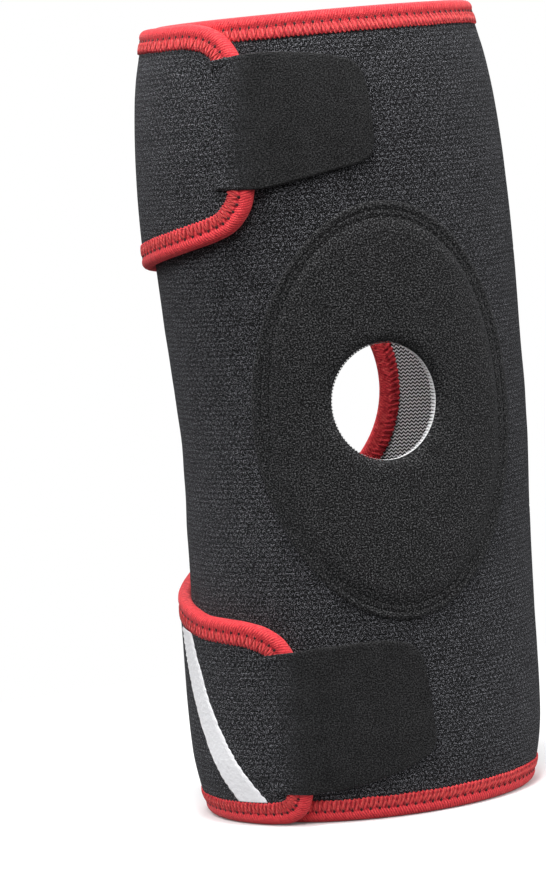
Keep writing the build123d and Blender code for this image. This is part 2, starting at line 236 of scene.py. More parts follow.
def along(phi, z, w, side):
    """The curve moved w mm into the sheet."""
    nrm = side_of(phi, z) * side
    u = np.stack([arc(phi), z], -1) + nrm * np.asarray(w)[..., None]
    return phi_of(u[:, 0]), u[:, 1]


# cross-section of the folded tape: (distance in from the edge, height over the outer face, 0 outer .. 1 inner leg)
TAPE = [
    (8.45, -0.05, 0), (8.4, 0.28, 0), (8.05, 0.5, 0), (7.4, 0.6, 0), (6.6, 0.64, 0), (5.8, 0.62, 0), (5.1, 0.52, 0), (4.5, 0.34, 0), (4.05, 0.26, 0), (3.6, 0.42, 0), (3.0, 0.68, 0), (2.2, 0.84, 0),
    (1.4, 0.76, 0), (0.75, 0.5, 0), (0.25, 0.08, 0), (-0.12, -0.6, 0), (-0.3, -1.4, 0), (-0.3, -2.6, 1), (-0.12, -3.4, 1), (0.25, -4.1, 1),
    (0.75, -4.5, 1), (1.4, -4.7, 1), (2.2, -4.78, 1), (3.0, -4.72, 1), (3.6, -4.62, 1), (4.05, -4.58, 1), (4.5, -4.58, 1), (5.1, -4.6, 1), (6.6, -4.62, 1), (8.05, -4.5, 1), (8.4, -4.28, 1), (8.45, -3.95, 1),
]
ZIG = 3.7  # pitch of the zigzag stitch
DIVE = [lambda p, z: 0.0 * p]  # how far a tape goes down under what covers it


def tape_mesh(phi, z, run, side, base, total=4.0, closed=False, seed=0, pull=None):
    """Folded tape along an edge curve. base is the offset of the sheet's outer face along it, total the sheet's thickness."""
    base = np.broadcast_to(np.asarray(base, float), phi.shape)
    n, k = len(phi), len(TAPE)
    P = np.empty((n, k)); Z = np.empty((n, k)); O = np.empty((n, k))
    nrm = side_of(phi, z) * side
    if closed:
        u = np.stack([arc(phi), z], -1)
    ua = arc(phi)
    wob = value_noise(run / 7.0, run * 0 + seed, 40 + seed)
    wob2 = value_noise(run / 2.3, run * 0 + seed, 60 + seed)
    scallop = 0.34 * np.cos(4 * math.pi * run / ZIG)
    for j, (w, h, leg) in enumerate(TAPE):
        ww = w + (scallop if w > 7.2 else 0) + (0.22 * wob + 0.1 * wob2) * (w > 3)
        hh = h if leg == 0 else h + 4.0 - total
        # the stitch pulls the inner half into slanting ribs and the row of holes into dimples
        inner = smooth((w - 4.2) / 0.9) * smooth((8.7 - w) / 0.6)
        slant = run + (w - 4.0) * 0.35
        ribs = 0.26 * np.cos(4 * math.pi * slant / ZIG) + 0.05 * wob2
        dimple = (-0.22 if leg == 0 else 0.0) * math.exp(-(((w - 4.1) / 0.55) ** 2)) * (0.5 + 0.5 * np.cos(2 * math.pi * run / ZIG)) ** 2
        roll = math.exp(-(((w - 1.9) / 1.3) ** 2)) * (0.12 * wob + 0.05 * wob2 + 0.03 * np.cos(2 * math.pi * (run - 0.5 * w) / 1.1))
        puff = inner * ribs + dimple + roll
        P[:, j] = phi_of(ua + nrm[:, 0] * ww)
        Z[:, j] = z + nrm[:, 1] * ww
        O[:, j] = base + (hh + puff if leg == 0 else hh - puff)
    O -= DIVE[0](P, Z)
    over = np.clip(Z, None, HEIGHT + 0.3)
    Zc = np.clip(over, -0.0, HEIGHT + 0.3)
    co = world(P, Zc, O)
    # beyond the rims the section no longer changes, so z is put back
    co[..., 2] = Zc / 1000.0
    co = co.reshape(-1, 3)
    faces = grid_faces(n, k, wrap_v=True, flip=side < 0, wrap_u=closed)
    width = np.array([w for w, _, _ in TAPE])
    prof = np.concatenate([[0], np.cumsum(np.hypot(np.diff([t[0] for t in TAPE]), np.diff([t[1] for t in TAPE])))])
    uv = np.stack([np.repeat(run, k), np.tile(prof, n)], -1) / 1000.0
    if not closed:
        # caps
        c0, c1 = len(co), len(co) + 1
        co = np.concatenate([co, [co[:k].mean(0)], [co[-k:].mean(0)]])
        uv = np.concatenate([uv, uv[:1], uv[-1:]])
        j = np.arange(k)
        cap0 = np.stack([np.full(k, c0), j, (j + 1) % k, (j + 1) % k], -1)
        cap1 = np.stack([np.full(k, c1), (n - 1) * k + (j + 1) % k, (n - 1) * k + j, (n - 1) * k + j], -1)
        if side < 0:
            cap0, cap1 = cap0[:, ::-1], cap1[:, ::-1]
        return co, faces, uv, (cap0, cap1)
    return co, faces, uv, None


def build_mixed(name, parts, mat, shade=True):
    """One object from lists of vertices, quads, triangles and UVs."""
    me = bpy.data.meshes.new(name)
    co = np.concatenate([p[0] for p in parts])
    uv = np.concatenate([p[2] for p in parts])
    loops, starts, at, base = [], [], 0, 0
    for c, f, _, caps in parts:
        loops.append((f + base).ravel())
        starts.append(at + np.arange(len(f)) * f.shape[1])
        at += f.size
        if caps is not None:
            for cap in caps:
                tri = cap[:, :3] if cap[0, 2] != cap[0, 1] else cap[:, 1:]
                tri = np.array([list(dict.fromkeys(r)) for r in cap.tolist()])
                loops.append((tri + base).ravel())
                starts.append(at + np.arange(len(tri)) * 3)
                at += tri.size
        base += len(c)
    loops, starts = np.concatenate(loops), np.concatenate(starts)
    me.vertices.add(len(co))
    me.vertices.foreach_set("co", co.astype(np.float32).ravel())
    me.loops.add(len(loops))
    me.loops.foreach_set("vertex_index", loops.astype(np.int32))
    me.polygons.add(len(starts))
    me.polygons.foreach_set("loop_start", starts.astype(np.int32))
    me.update(calc_edges=True)
    me.validate()
    if shade:
        me.polygons.foreach_set("use_smooth", np.ones(len(me.polygons), bool))
    layer = me.uv_layers.new(name="UVMap")
    idx = np.empty(len(me.loops), np.int32)
    me.loops.foreach_get("vertex_index", idx)
    layer.data.foreach_set("uv", uv.astype(np.float32)[idx].ravel())
    me.materials.append(mat)
    ob = bpy.data.objects.new(name, me)
    bpy.context.scene.collection.objects.link(ob)
    return ob


def stitch_parts(phi, z, run, side, w, off, pitch=3.1, length=2.3, rad=0.26, zigzag=0.0, start=1.0, flat=0.75):
    """Short stitches of thread, w mm in from an edge curve, standing off over the outer face."""
    off = np.broadcast_to(np.asarray(off, float), phi.shape)
    nrm = side_of(phi, z) * side
    ua = arc(phi)
    L = run[-1]
    cs = np.arange(start, L - 1.0, pitch)
    ring, segs = 6, 5
    co, faces, uv = [], [], []
    t = np.linspace(-0.5, 0.5, segs)
    prof = np.sqrt(np.clip(1 - (2 * t) ** 2 * 0.82, 0, 1))
    ang = np.linspace(0, 2 * math.pi, ring, endpoint=False)
    q = grid_faces(segs, ring, wrap_v=True)
    for i, c in enumerate(cs):
        s = c + t * length
        zz = zigzag * (1 if i % 2 else -1) * np.linspace(-1, 1, segs)
        uu = np.interp(s, run, ua) + np.interp(s, run, nrm[:, 0]) * (w + zz)
        vv = np.interp(s, run, z) + np.interp(s, run, nrm[:, 1]) * (w + zz)
        oo = np.interp(s, run, off)
        nx, nz = np.interp(c, run, nrm[:, 0]), np.interp(c, run, nrm[:, 1])
        r = rad * prof
        du = uu[:, None] + nx * r[:, None] * np.cos(ang)
        dv = vv[:, None] + nz * r[:, None] * np.cos(ang)
        do = oo[:, None] + flat * r[:, None] * np.sin(ang) - 0.12 * (1 - prof)[:, None]
        p = world(phi_of(du), np.clip(dv, 0.0, HEIGHT), do).reshape(-1, 3)
        base = len(co) * (segs * ring + 2)
        ends = np.stack([p[:ring].mean(0), p[-ring:].mean(0)])
        co.append(np.concatenate([p, ends]))
        uv.append(np.tile([[c / 1000.0, w / 1000.0]], (segs * ring + 2, 1)))
        j = np.arange(ring)
        tri = np.concatenate(
            [
                np.stack([np.full(ring, segs * ring), (j + 1) % ring, j, j], -1),
                np.stack([np.full(ring, segs * ring + 1), (segs - 1) * ring + j, (segs - 1) * ring + (j + 1) % ring, (segs - 1) * ring + (j + 1) % ring], -1),
            ]
        )
        faces.append((q + base, tri + base))
    co = np.concatenate(co)
    uv = np.concatenate(uv)
    quads = np.concatenate([f[0] for f in faces])
    tris = np.concatenate([f[1] for f in faces])
    return co, quads, uv, (tris,)


def zigzag_parts(phi, z, run, side, off, start=0.6, end_room=0.6, rad=0.3, w0=4.05, w1=8.55):
    """One continuous zigzag of soft thread between the row of holes and the tape's inner edge."""
    off = np.broadcast_to(np.asarray(off, float), phi.shape)
    nrm = side_of(phi, z) * side
    ua = arc(phi)
    L = run[-1]
    if L < 6:
        return []
    n = int((L - start - end_room) / (ZIG / 2))
    parts = []
    ring = 7
    ang = np.linspace(0, 2 * math.pi, ring, endpoint=False)
    t = np.linspace(0, 1, 9)
    co, q, tri, uv, base = [], [], [], [], 0
    jit = np.random.default_rng(int(L * 10) % 9973)
    for i in range(n):
        s0, s1 = start + i * ZIG / 2, start + (i + 1) * ZIG / 2
        a_, b_ = (w0, w1) if i % 2 == 0 else (w1, w0)
        b_ = b_ + jit.uniform(-0.15, 0.15)
        s_ = s0 + (s1 - s0) * (t * 0.72 + 0.14)
        w = a_ + (b_ - a_) * (t * 0.96 + 0.02)
        uu = np.interp(s_, run, ua) + np.interp(s_, run, nrm[:, 0]) * w
        vv = np.interp(s_, run, z) + np.interp(s_, run, nrm[:, 1]) * w
        hole = np.exp(-(((w - w0) / 0.55) ** 2))
        edge = np.exp(-(((w - w1) / 0.5) ** 2))
        oo = np.interp(s_, run, off) + 0.62 - 0.5 * hole - 0.4 * edge - DIVE[0](phi_of(uu), vv)
        du = np.gradient(uu)
        dv = np.gradient(vv)
        ln = np.hypot(du, dv)
        px, pz = -dv / ln, du / ln
        r = rad * (0.75 + 0.35 * np.sin(math.pi * t))
        U = uu[:, None] + px[:, None] * r[:, None] * np.cos(ang)
        V = vv[:, None] + pz[:, None] * r[:, None] * np.cos(ang)
        O = oo[:, None] + 0.8 * r[:, None] * np.sin(ang)
        p = world(phi_of(U), np.clip(V, 0.0, HEIGHT), O).reshape(-1, 3)
        k = len(t)
        co.append(np.concatenate([p, [p[:ring].mean(0)], [p[-ring:].mean(0)]]))
        j = np.arange(ring)
        q.append(grid_faces(k, ring, wrap_v=True) + base)
        tri.append(np.stack([np.full(ring, k * ring), j, (j + 1) % ring], -1) + base)
        tri.append(np.stack([np.full(ring, k * ring + 1), (k - 1) * ring + (j + 1) % ring, (k - 1) * ring + j], -1) + base)
        wv = np.concatenate([np.repeat(w, ring), [w[0], w[-1]]])
        sv = np.concatenate([np.repeat(s_, ring), [s_[0], s_[-1]]])
        uv.append(np.stack([sv, wv], -1) / 1000.0)
        base += k * ring + 2
    return [(np.concatenate(co), np.concatenate(q), np.concatenate(uv), (np.concatenate(tri),))]


def hole_parts(phi, z, run, side, off, start=0.6, w0=4.05):
    """Small dark needle holes, one at each turn of the zigzag."""
    off = np.broadcast_to(np.asarray(off, float), phi.shape)
    nrm = side_of(phi, z) * side
    ua = arc(phi)
    cs = np.arange(start, run[-1] - 0.8, ZIG)
    ring = 8
    ang = np.linspace(0, 2 * math.pi, ring, endpoint=False)
    co, tri, uv, base = [], [], [], 0
    for c in cs:
        uu, vv = np.interp(c, run, ua), np.interp(c, run, z)
        nx, nz = np.interp(c, run, nrm[:, 0]), np.interp(c, run, nrm[:, 1])
        oo = np.interp(c, run, off) + 0.33 - float(DIVE[0](phi_of(uu + nx * w0), vv + nz * w0))
        pts = []
        for r, h in ((0.66, 0.06), (0.5, 0.2)):
            x = r * np.cos(ang) * 0.8
            y = r * np.sin(ang) * 1.1
            pts.append(world(phi_of(uu + nx * (w0 + y) - nz * x), np.clip(vv + nz * (w0 + y) + nx * x, 0, HEIGHT), oo + h))
        top = world(phi_of(uu + nx * w0), np.clip(vv + nz * w0, 0, HEIGHT), oo + 0.17)
        low = world(phi_of(uu + nx * w0), np.clip(vv + nz * w0, 0, HEIGHT), oo - 0.15)
        co.append(np.concatenate([pts[0], pts[1], [top], [low]]))
        j = np.arange(ring)
        k = (j + 1) % ring
        tri.append(np.concatenate([np.stack([j, k, ring + k], -1), np.stack([j, ring + k, ring + j], -1), np.stack([ring + j, ring + k, np.full(ring, 2 * ring)], -1), np.stack([k, j, np.full(ring, 2 * ring + 1)], -1)]) + base)
        uv.append(np.tile([[c / 1000.0, 0.0]], (2 * ring + 2, 1)))
        base += 2 * ring + 2
    t = np.concatenate(tri)
    return [(np.concatenate(co), t, np.concatenate(uv), None)]


# ------------------------------------------------------------------ materials
def nodes_of(name):
    mat = bpy.data.materials.new(name)
    mat.use_nodes = True
    nt = mat.node_tree
    nt.nodes.clear()
    out = nt.nodes.new("ShaderNodeOutputMaterial")
    bsdf = nt.nodes.new("ShaderNodeBsdfPrincipled")
    nt.links.new(bsdf.outputs[0], out.inputs[0])
    return mat, nt, bsdf


class G:
    """Small helper for writing node graphs."""

    def __init__(self, nt):
        self.nt = nt

    def put(self, v, sock):
        if hasattr(v, "is_linked") or hasattr(v, "links"):
            self.nt.links.new(v, sock)
        else:
            sock.default_value = v

    def math(self, op, a, b=0.0, c=0.0, clamp=False):
        n = self.nt.nodes.new("ShaderNodeMath")
        n.operation, n.use_clamp = op, clamp
        self.put(a, n.inputs[0]); self.put(b, n.inputs[1]); self.put(c, n.inputs[2])
        return n.outputs[0]

    def uv(self):
        n = self.nt.nodes.new("ShaderNodeUVMap")
        n.uv_map = "UVMap"
        return n.outputs[0]

    def obj(self):
        return self.nt.nodes.new("ShaderNodeTexCoord").outputs["Object"]

    def split(self, v):
        n = self.nt.nodes.new("ShaderNodeSeparateXYZ")
        self.put(v, n.inputs[0])
        return n.outputs[0], n.outputs[1], n.outputs[2]

    def join(self, x, y, z=0.0):
        n = self.nt.nodes.new("ShaderNodeCombineXYZ")
        self.put(x, n.inputs[0]); self.put(y, n.inputs[1]); self.put(z, n.inputs[2])
        return n.outputs[0]

    def noise(self, vec, scale, detail=2.0, rough=0.5, dist=0.0):
        n = self.nt.nodes.new("ShaderNodeTexNoise")
        self.put(vec, n.inputs["Vector"])
        n.inputs["Scale"].default_value = scale
        n.inputs["Detail"].default_value = detail
        n.inputs["Roughness"].default_value = rough
        n.inputs["Distortion"].default_value = dist
        return n.outputs["Fac"]

    def voronoi(self, vec, scale, feature="F1", rand=1.0, out="Distance"):
        n = self.nt.nodes.new("ShaderNodeTexVoronoi")
        n.feature = feature
        self.put(vec, n.inputs["Vector"])
        n.inputs["Scale"].default_value = scale
        n.inputs["Randomness"].default_value = rand
        return n.outputs[out]

    def ramp(self, fac, stops):
        n = self.nt.nodes.new("ShaderNodeValToRGB")
        self.put(fac, n.inputs[0])
        cr = n.color_ramp
        while len(cr.elements) < len(stops):
            cr.elements.new(0.5)
        for e, (p, c) in zip(cr.elements, stops):
            e.position = p
            e.color = c if len(c) == 4 else (*c, 1)
        return n.outputs[0]

    def range(self, v, a, b, c, d):
        n = self.nt.nodes.new("ShaderNodeMapRange")
        self.put(v, n.inputs[0])
        for k, x in enumerate((a, b, c, d)):
            n.inputs[k + 1].default_value = x
        return n.outputs[0]

    def mix(self, fac, a, b, kind="MIX"):
        n = self.nt.nodes.new("ShaderNodeMix")
        n.data_type, n.blend_type = "RGBA", kind
        self.put(fac, n.inputs["Factor"])
        for v, s in ((a, n.inputs[6]), (b, n.inputs[7])):
            if isinstance(v, tuple):
                v = v if len(v) == 4 else (*v, 1)
            self.put(v, s)
        return n.outputs[2]

    def bump(self, height, dist, strength=1.0, normal=None):
        n = self.nt.nodes.new("ShaderNodeBump")
        self.put(height, n.inputs["Height"])
        n.inputs["Distance"].default_value = dist
        n.inputs["Strength"].default_value = strength
        if normal is not None:
            self.nt.links.new(normal, n.inputs["Normal"])
        return n.outputs[0]


def finish_bsdf(b, rough, sheen=0.0, sheen_rough=0.5, tint=(1, 1, 1, 1), spec=0.3):
    if not isinstance(rough, float):
        b.id_data.links.new(rough, b.inputs["Roughness"])
    else:
        b.inputs["Roughness"].default_value = rough
    b.inputs["Sheen Weight"].default_value = sheen
    b.inputs["Sheen Roughness"].default_value = sheen_rough
    b.inputs["Sheen Tint"].default_value = tint
    b.inputs["Specular IOR Level"].default_value = spec


def speckle(g, uv, u, v, grain, cell, cell_amount, patchy):
    """Brushed loop knit: a grain of fine loops over faint staggered cells; returns a tone in 0..1 and a height."""
    mm = 1000.0
    fuzz = g.noise(uv, grain, 1.0, 0.7)
    fuzz2 = g.noise(g.join(v, u, 0.37), grain * 1.9, 2.0, 0.6)
    warp = g.noise(uv, 240.0, 1.0)
    uu = g.math("ADD", u, g.math("MULTIPLY", g.math("SUBTRACT", warp, 0.5), 0.0020))
    row = g.math("MULTIPLY", g.math("SUBTRACT", v, g.math("MULTIPLY", g.math("SUBTRACT", warp, 0.5), 0.0015)), mm / (cell * 0.8))
    half = g.math("MULTIPLY", g.math("FLOOR", row), 0.5)
    col = g.math("ADD", g.math("MULTIPLY", uu, mm / cell), half)
    fx = g.math("SUBTRACT", g.math("FRACT", col), 0.5)
    fy = g.math("SUBTRACT", g.math("FRACT", row), 0.5)
    d = g.math("SQRT", g.math("ADD", g.math("MULTIPLY", fx, fx), g.math("MULTIPLY", fy, fy)))
    loops = g.range(d, 0.15, 0.62, 1.0, 0.0)
    mask = g.range(g.noise(uv, 300.0, 2.0), 0.35, 0.65, 0.65, 1.0)
    cells = g.math("MULTIPLY", g.math("SUBTRACT", g.math("MULTIPLY", loops, mask), 0.3), cell_amount)
    patch = g.math("MULTIPLY", g.math("SUBTRACT", g.noise(uv, 110.0, 3.0, 0.6), 0.5), patchy)
    t = g.math("ADD", g.math("ADD", fuzz, g.math("MULTIPLY", g.math("SUBTRACT", fuzz2, 0.5), 0.55)), g.math("ADD", cells, patch))
    return t


def loop_fabric(name, dark, light, grain=2250.0, cell=2.3, cells=0.12, patchy=0.05, lo=0.50, hi=0.71, power=1.9, depth=0.0006, sheen=0.05, lint=1.0, fade=None):
    mat, nt, b = nodes_of(name)
    g = G(nt)
    uv = g.uv()
    u, v, _ = g.split(uv)
    t = speckle(g, uv, u, v, grain, cell, cells, patchy)
    fac = g.range(t, lo, hi, 0.0, 1.0)
    # the raised loops catch the light; the gaps stay dark
    fac = g.math("POWER", fac, power, clamp=True)
    c = g.mix(fac, dark, light)
    h = t
    if fade is not None:
        # the strap's loop knit runs on into the flatter cloth
        u0, u1, dark2, light2, grain2, lo2, hi2 = fade
        t2 = speckle(g, uv, u, v, grain2, 1.1, 0.05, 0.12)
        c2 = g.mix(g.math("POWER", g.range(t2, lo2, hi2, 0.0, 1.0), 1.3, clamp=True), dark2, light2)
        edge = g.range(g.math("ADD", u, g.math("MULTIPLY", g.math("SUBTRACT", g.noise(uv, 160.0, 2.0), 0.5), 0.006)), u0, u1, 0.0, 1.0)
        c = g.mix(edge, c, c2)
        h = g.math("ADD", g.math("MULTIPLY", t, g.math("SUBTRACT", 1.0, g.math("MULTIPLY", edge, 0.8))), g.math("MULTIPLY", g.math("MULTIPLY", t2, edge), 0.5))
    if lint:
        stretched = g.join(g.math("MULTIPLY", u, 1.0), g.math("MULTIPLY", v, 0.45), 0.0)
        fib = g.voronoi(stretched, 720.0)
        fib2 = g.noise(uv, 900.0, 2.0)
        speck = g.math("MULTIPLY", g.range(fib, 0.06, 0.10, 1.0, 0.0), g.range(fib2, 0.60, 0.66, 0.0, 1.0))
        c = g.mix(g.math("MULTIPLY", speck, 0.22 * lint), c, (0.5, 0.5, 0.52))
        # a few stray fibres of lint
        slip = g.join(g.math("ADD", u, g.math("MULTIPLY", v, 0.6)), g.math("MULTIPLY", v, 0.55), 0.7)
        big = g.voronoi(slip, 58.0)
        rare = g.voronoi(slip, 58.0, out="Color")
        r, _, _ = g.split(rare)
        lump = g.math("MULTIPLY", g.range(big, 0.012, 0.022, 1.0, 0.0), g.math("GREATER_THAN", r, 0.55))
        c = g.mix(g.math("MULTIPLY", lump, 0.6 * min(lint, 1.0)), c, (0.5, 0.51, 0.53))
    nt.links.new(c, b.inputs["Base Color"])
    n1 = g.bump(h, depth, 0.8)
    nt.links.new(n1, b.inputs["Normal"])
    finish_bsdf(b, 0.93, sheen, 0.42, (0.85, 0.87, 0.95, 1), 0.18)
    return mat


def tape_mat():
    """Folded knit tape: slanting ribs where the zigzag pulls it, finer ribs over the rolled edge."""
    mat, nt, b = nodes_of("edge_tape_red")
    g = G(nt)
    uv = g.uv()
    u, v, _ = g.split(uv)
    fine = g.noise(uv, 1900.0, 3.0, 0.6)
    wob = g.noise(uv, 190.0, 2.0)
    wob_ = g.math("MULTIPLY", g.math("SUBTRACT", wob, 0.5), 0.0012)
    # ribs of the sewn half, on both faces of the tape; in the colour they are painted shade in the troughs and painted
    # highlight on the crests
    slant = g.math("ADD", g.math("ADD", u, wob_), g.math("MULTIPLY", v, 0.38))
    coarse = g.math("ADD", g.math("MULTIPLY", g.math("COSINE", g.math("MULTIPLY", slant, 2 * math.pi / (ZIG / 2000.0))), 0.5), 0.5)
    front = g.math("MULTIPLY", g.range(v, 0.0042, 0.0049, 1.0, 0.0), g.range(v, 0.0002, 0.0008, 0.0, 1.0))
    back = g.range(v, 0.0180, 0.0188, 0.0, 1.0)
    sewn = g.math("MAXIMUM", front, back)
    # finer slanting ribs on the rolled half, also painted shade and painted highlight in the colour
    slim = g.math("ADD", g.math("MULTIPLY", g.math("SINE", g.math("MULTIPLY", g.math("SUBTRACT", g.math("ADD", u, wob_), g.math("MULTIPLY", v, 0.5)), 2 * math.pi / 0.0011)), 0.5), 0.5)
    groove = g.math("MULTIPLY", g.range(g.math("ABSOLUTE", g.math("SUBTRACT", v, 0.0046)), 0.0002, 0.0006, 1.0, 0.0), 0.35)
    amt = g.math("ADD", g.math("MULTIPLY", g.math("MULTIPLY", coarse, sewn), 0.85), g.math("MULTIPLY", g.math("MULTIPLY", slim, g.math("SUBTRACT", 1.0, sewn)), 0.42))
    amt = g.math("MULTIPLY", amt, g.range(v, 0.0098, 0.0120, 1.0, 0.45))
    rough_ = g.noise(g.join(g.math("MULTIPLY", u, 1.0), g.math("MULTIPLY", v, 1.0), 0.5), 520.0, 3.0, 0.7)
    amt = g.math("ADD", amt, g.math("MULTIPLY", g.math("MULTIPLY", g.math("SUBTRACT", rough_, 0.38), g.range(v, 0.0098, 0.0120, 0.0, 1.0)), 1.5))
    streak = g.noise(g.join(g.math("MULTIPLY", u, 3.2), g.math("MULTIPLY", v, 0.8), 0.2), 420.0, 2.0, 0.6)
    amt = g.math("ADD", amt, g.math("MULTIPLY", g.math("SUBTRACT", 1.0, sewn), 0.26))
    t = g.math("ADD", g.math("MULTIPLY", amt, 0.75), g.math("MULTIPLY", g.math("SUBTRACT", fine, 0.3), 0.7))
    t = g.math("ADD", t, g.math("MULTIPLY", g.math("SUBTRACT", streak, 0.5), 0.8))
    t = g.math("SUBTRACT", t, g.math("MULTIPLY", groove, 0.45))
    # colour ramp: the tape's own red in the middle, painted shade at its dark end and painted highlight at its bright
    # orange end, set by the ribs; groove makes a darker line along the row of needle holes
    c = g.ramp(g.range(t, -0.1, 0.95, 0.0, 1.0), [(0.0, (0.10, 0.005, 0.012)), (0.30, (0.36, 0.015, 0.025)), (0.62, (0.72, 0.038, 0.050)), (1.0, (0.92, 0.15, 0.13))])
    nt.links.new(c, b.inputs["Base Color"])
    nt.links.new(g.bump(t, 0.00035, 0.9), b.inputs["Normal"])
    finish_bsdf(b, 0.74, 0.15, 0.4, (1.0, 0.55, 0.55, 1), 0.25)
    return mat


def thread_mat(name, col, col2, rough=0.7, sheen=0.2, spec=0.35):
    mat, nt, b = nodes_of(name)
    g = G(nt)
    o = g.obj()
    n = g.noise(o, 3500.0, 2.0, 0.6)
    tw = g.noise(o, 900.0, 2.0)
    c = g.mix(g.range(n, 0.3, 0.7, 0, 1), col, col2)
    nt.links.new(c, b.inputs["Base Color"])
    nt.links.new(g.bump(g.math("ADD", n, tw), 0.00008, 0.8), b.inputs["Normal"])
    finish_bsdf(b, rough, sheen, 0.4, (1, 1, 1, 1), spec)
    return mat


def lining_mat():
    mat, nt, b = nodes_of("lining_zigzag")
    g = G(nt)
    uv = g.uv()
    u, v, _ = g.split(uv)
    fine = g.noise(uv, 2600.0, 2.0, 0.6)
    # chevrons: rows that rise and fall across narrow wales
    wale = g.math("PINGPONG", g.math("MULTIPLY", u, 1000.0), 0.95)
    row = g.math("FRACT", g.math("DIVIDE", g.math("ADD", g.math("MULTIPLY", v, 1000.0), g.math("MULTIPLY", wale, 0.9)), 1.4))
    band = g.math("ABSOLUTE", g.math("SUBTRACT", row, 0.5))
    line = g.range(band, 0.23, 0.31, 0.0, 1.0)
    c = g.mix(line, (0.004, 0.004, 0.0045), (0.86, 0.86, 0.88))
    c = g.mix(g.math("MULTIPLY", fine, 0.1), c, (0.10, 0.10, 0.105))
    nt.links.new(c, b.inputs["Base Color"])
    nt.links.new(g.bump(g.math("ADD", g.math("MULTIPLY", line, 0.6), fine), 0.0002, 0.9), b.inputs["Normal"])
    finish_bsdf(b, 0.85, 0.3, 0.4, (1, 1, 1, 1), 0.25)
    return mat


def white_mat():
    mat, nt, b = nodes_of("white_band")
    g = G(nt)
    uv = g.uv()
    weave = g.noise(uv, 1500.0, 3.0, 0.6)
    pit = g.voronoi(uv, 640.0)
    wear = g.noise(uv, 240.0, 4.0, 0.65)
    c = g.mix(g.range(wear, 0.60, 0.78, 0.0, 0.5), (0.82, 0.82, 0.84), (0.52, 0.52, 0.55))
    c = g.mix(g.range(pit, 0.0, 0.16, 0.35, 0.0), c, (0.42, 0.42, 0.45))
    nt.links.new(c, b.inputs["Base Color"])
    nt.links.new(g.bump(g.math("ADD", weave, pit), 0.00022, 0.8), b.inputs["Normal"])
    finish_bsdf(b, 0.62, 0.1, 0.4, (1, 1, 1, 1), 0.35)
    return mat


def hook_mat():
    mat, nt, b = nodes_of("hook_tape")
    g = G(nt)
    uv = g.uv()
    u, v, _ = g.split(uv)
    a = g.math("SINE", g.math("MULTIPLY", u, 2 * math.pi / 0.0012))
    c_ = g.math("SINE", g.math("MULTIPLY", v, 2 * math.pi / 0.0016))
    h = g.math("MULTIPLY", a, c_)
    c = g.mix(g.range(h, -0.4, 0.8, 0, 1), (0.012, 0.012, 0.013), (0.05, 0.05, 0.052))
    nt.links.new(c, b.inputs["Base Color"])
    nt.links.new(g.bump(h, 0.0003, 1.0), b.inputs["Normal"])
    finish_bsdf(b, 0.5, 0.0, 0.4, (1, 1, 1, 1), 0.4)
    return mat


TAB_UV = 0.15
LOOP_DARK, LOOP_LIGHT = (0.0003, 0.0003, 0.0005), (0.232, 0.233, 0.254)
M_LOOP = loop_fabric("loop_knit", LOOP_DARK, LOOP_LIGHT)
M_PAD = loop_fabric("pad_felt", (0.0010, 0.0010, 0.0011), (0.130, 0.130, 0.134), grain=1800.0, cell=1.6, cells=0.06, lo=0.42, hi=0.74, depth=0.0004, sheen=0.05, lint=0.8)
M_TAB = loop_fabric(
    "tab_fabric", LOOP_DARK, LOOP_LIGHT, depth=0.0005, sheen=0.05, lint=0.6,
    fade=(float(arc(315.0)) / 1000 + TAB_UV, float(arc(327.0)) / 1000 + TAB_UV, (0.0016, 0.0016, 0.0017), (0.054, 0.054, 0.0553), 1900.0, 0.38, 0.76),
)
M_TAPE = tape_mat()
M_THREAD = thread_mat("thread_dark", (0.006, 0.006, 0.0065), (0.02, 0.02, 0.021))
M_REDTHREAD = thread_mat("thread_red", (0.30, 0.016, 0.022), (0.70, 0.070, 0.062))
M_DIM = thread_mat("thread_dim", (0.004, 0.004, 0.0042), (0.012, 0.012, 0.0125), 0.95, 0.0, 0.05)
M_HOLE = thread_mat("needle_hole", (0.02, 0.002, 0.003), (0.05, 0.004, 0.005))
M_PALE = thread_mat("thread_pale", (0.74, 0.74, 0.75), (0.97, 0.97, 0.98))
M_LINING = lining_mat()
M_WHITE = white_mat()
M_HOOK = hook_mat()

# ------------------------------------------------------------------ outlines
UPPER_TOP = [(200, 299.6), (230, 299.5), (265, 299.2), (288, 298.9), (306.5, 298.1), (312.2, 296.4), (316.6, 293.6), (320.0, 290.0), (322.5, 285.7)]
UPPER_END = [(322.5, 285.7), (324.9, 279.0), (325.9, 262.0), (325.7, 246.0), (324.8, 236.0)]
UPPER_LOW = [(200, 204.6), (230, 206.6), (260, 210.0), (283, 213.4), (300.0, 216.8), (311.2, 219.7), (316.9, 222.3), (321.6, 227.3), (323.4, 230.6), (324.8, 236.0)]
LOWER_TOP = [(200, 105.4), (215, 99.4), (230, 93.6), (245, 88.6), (260, 84.8), (270, 82.8), (279, 81.0), (287, 79.3), (299.5, 78.2), (306.8, 77.3), (316.0, 74.3), (320.8, 70.4), (323.5, 65.8)]
LOWER_END = [(323.5, 65.8), (325.5, 58.0), (326.3, 40.0), (326.3, 22.0), (325.6, 10.4)]
LOWER_LOW = [(200, 0.4), (230, 0.4), (265, 0.4), (297, 0.4), (310.5, 0.5), (317.5, 1.4), (323.0, 5.2), (325.6, 10.4)]
UPPER_TAB = [(327.5, 286.4), (342.5, 285.2), (354.5, 282.6), (360, 279.8), (362.7, 272.0), (363.4, 261.0), (363.1, 250.5), (361.5, 245.4), (358, 243.2), (350, 241.4), (340, 239.1), (327.5, 237.0)]
LOWER_TAB = [(327.5, 66.5), (339.5, 67.3), (356.5, 66.9), (362, 64.8), (365.1, 60.0), (366.5, 49.7), (367.7, 36.0), (368.2, 29.0), (366.9, 24.4), (362.5, 21.2), (354.5, 17.4), (342.5, 13.9), (327.5, 12.2)]
HOLE_X, HOLE_Z, HOLE_A, HOLE_B = 0.3, 155.3, 20.2, 22.0
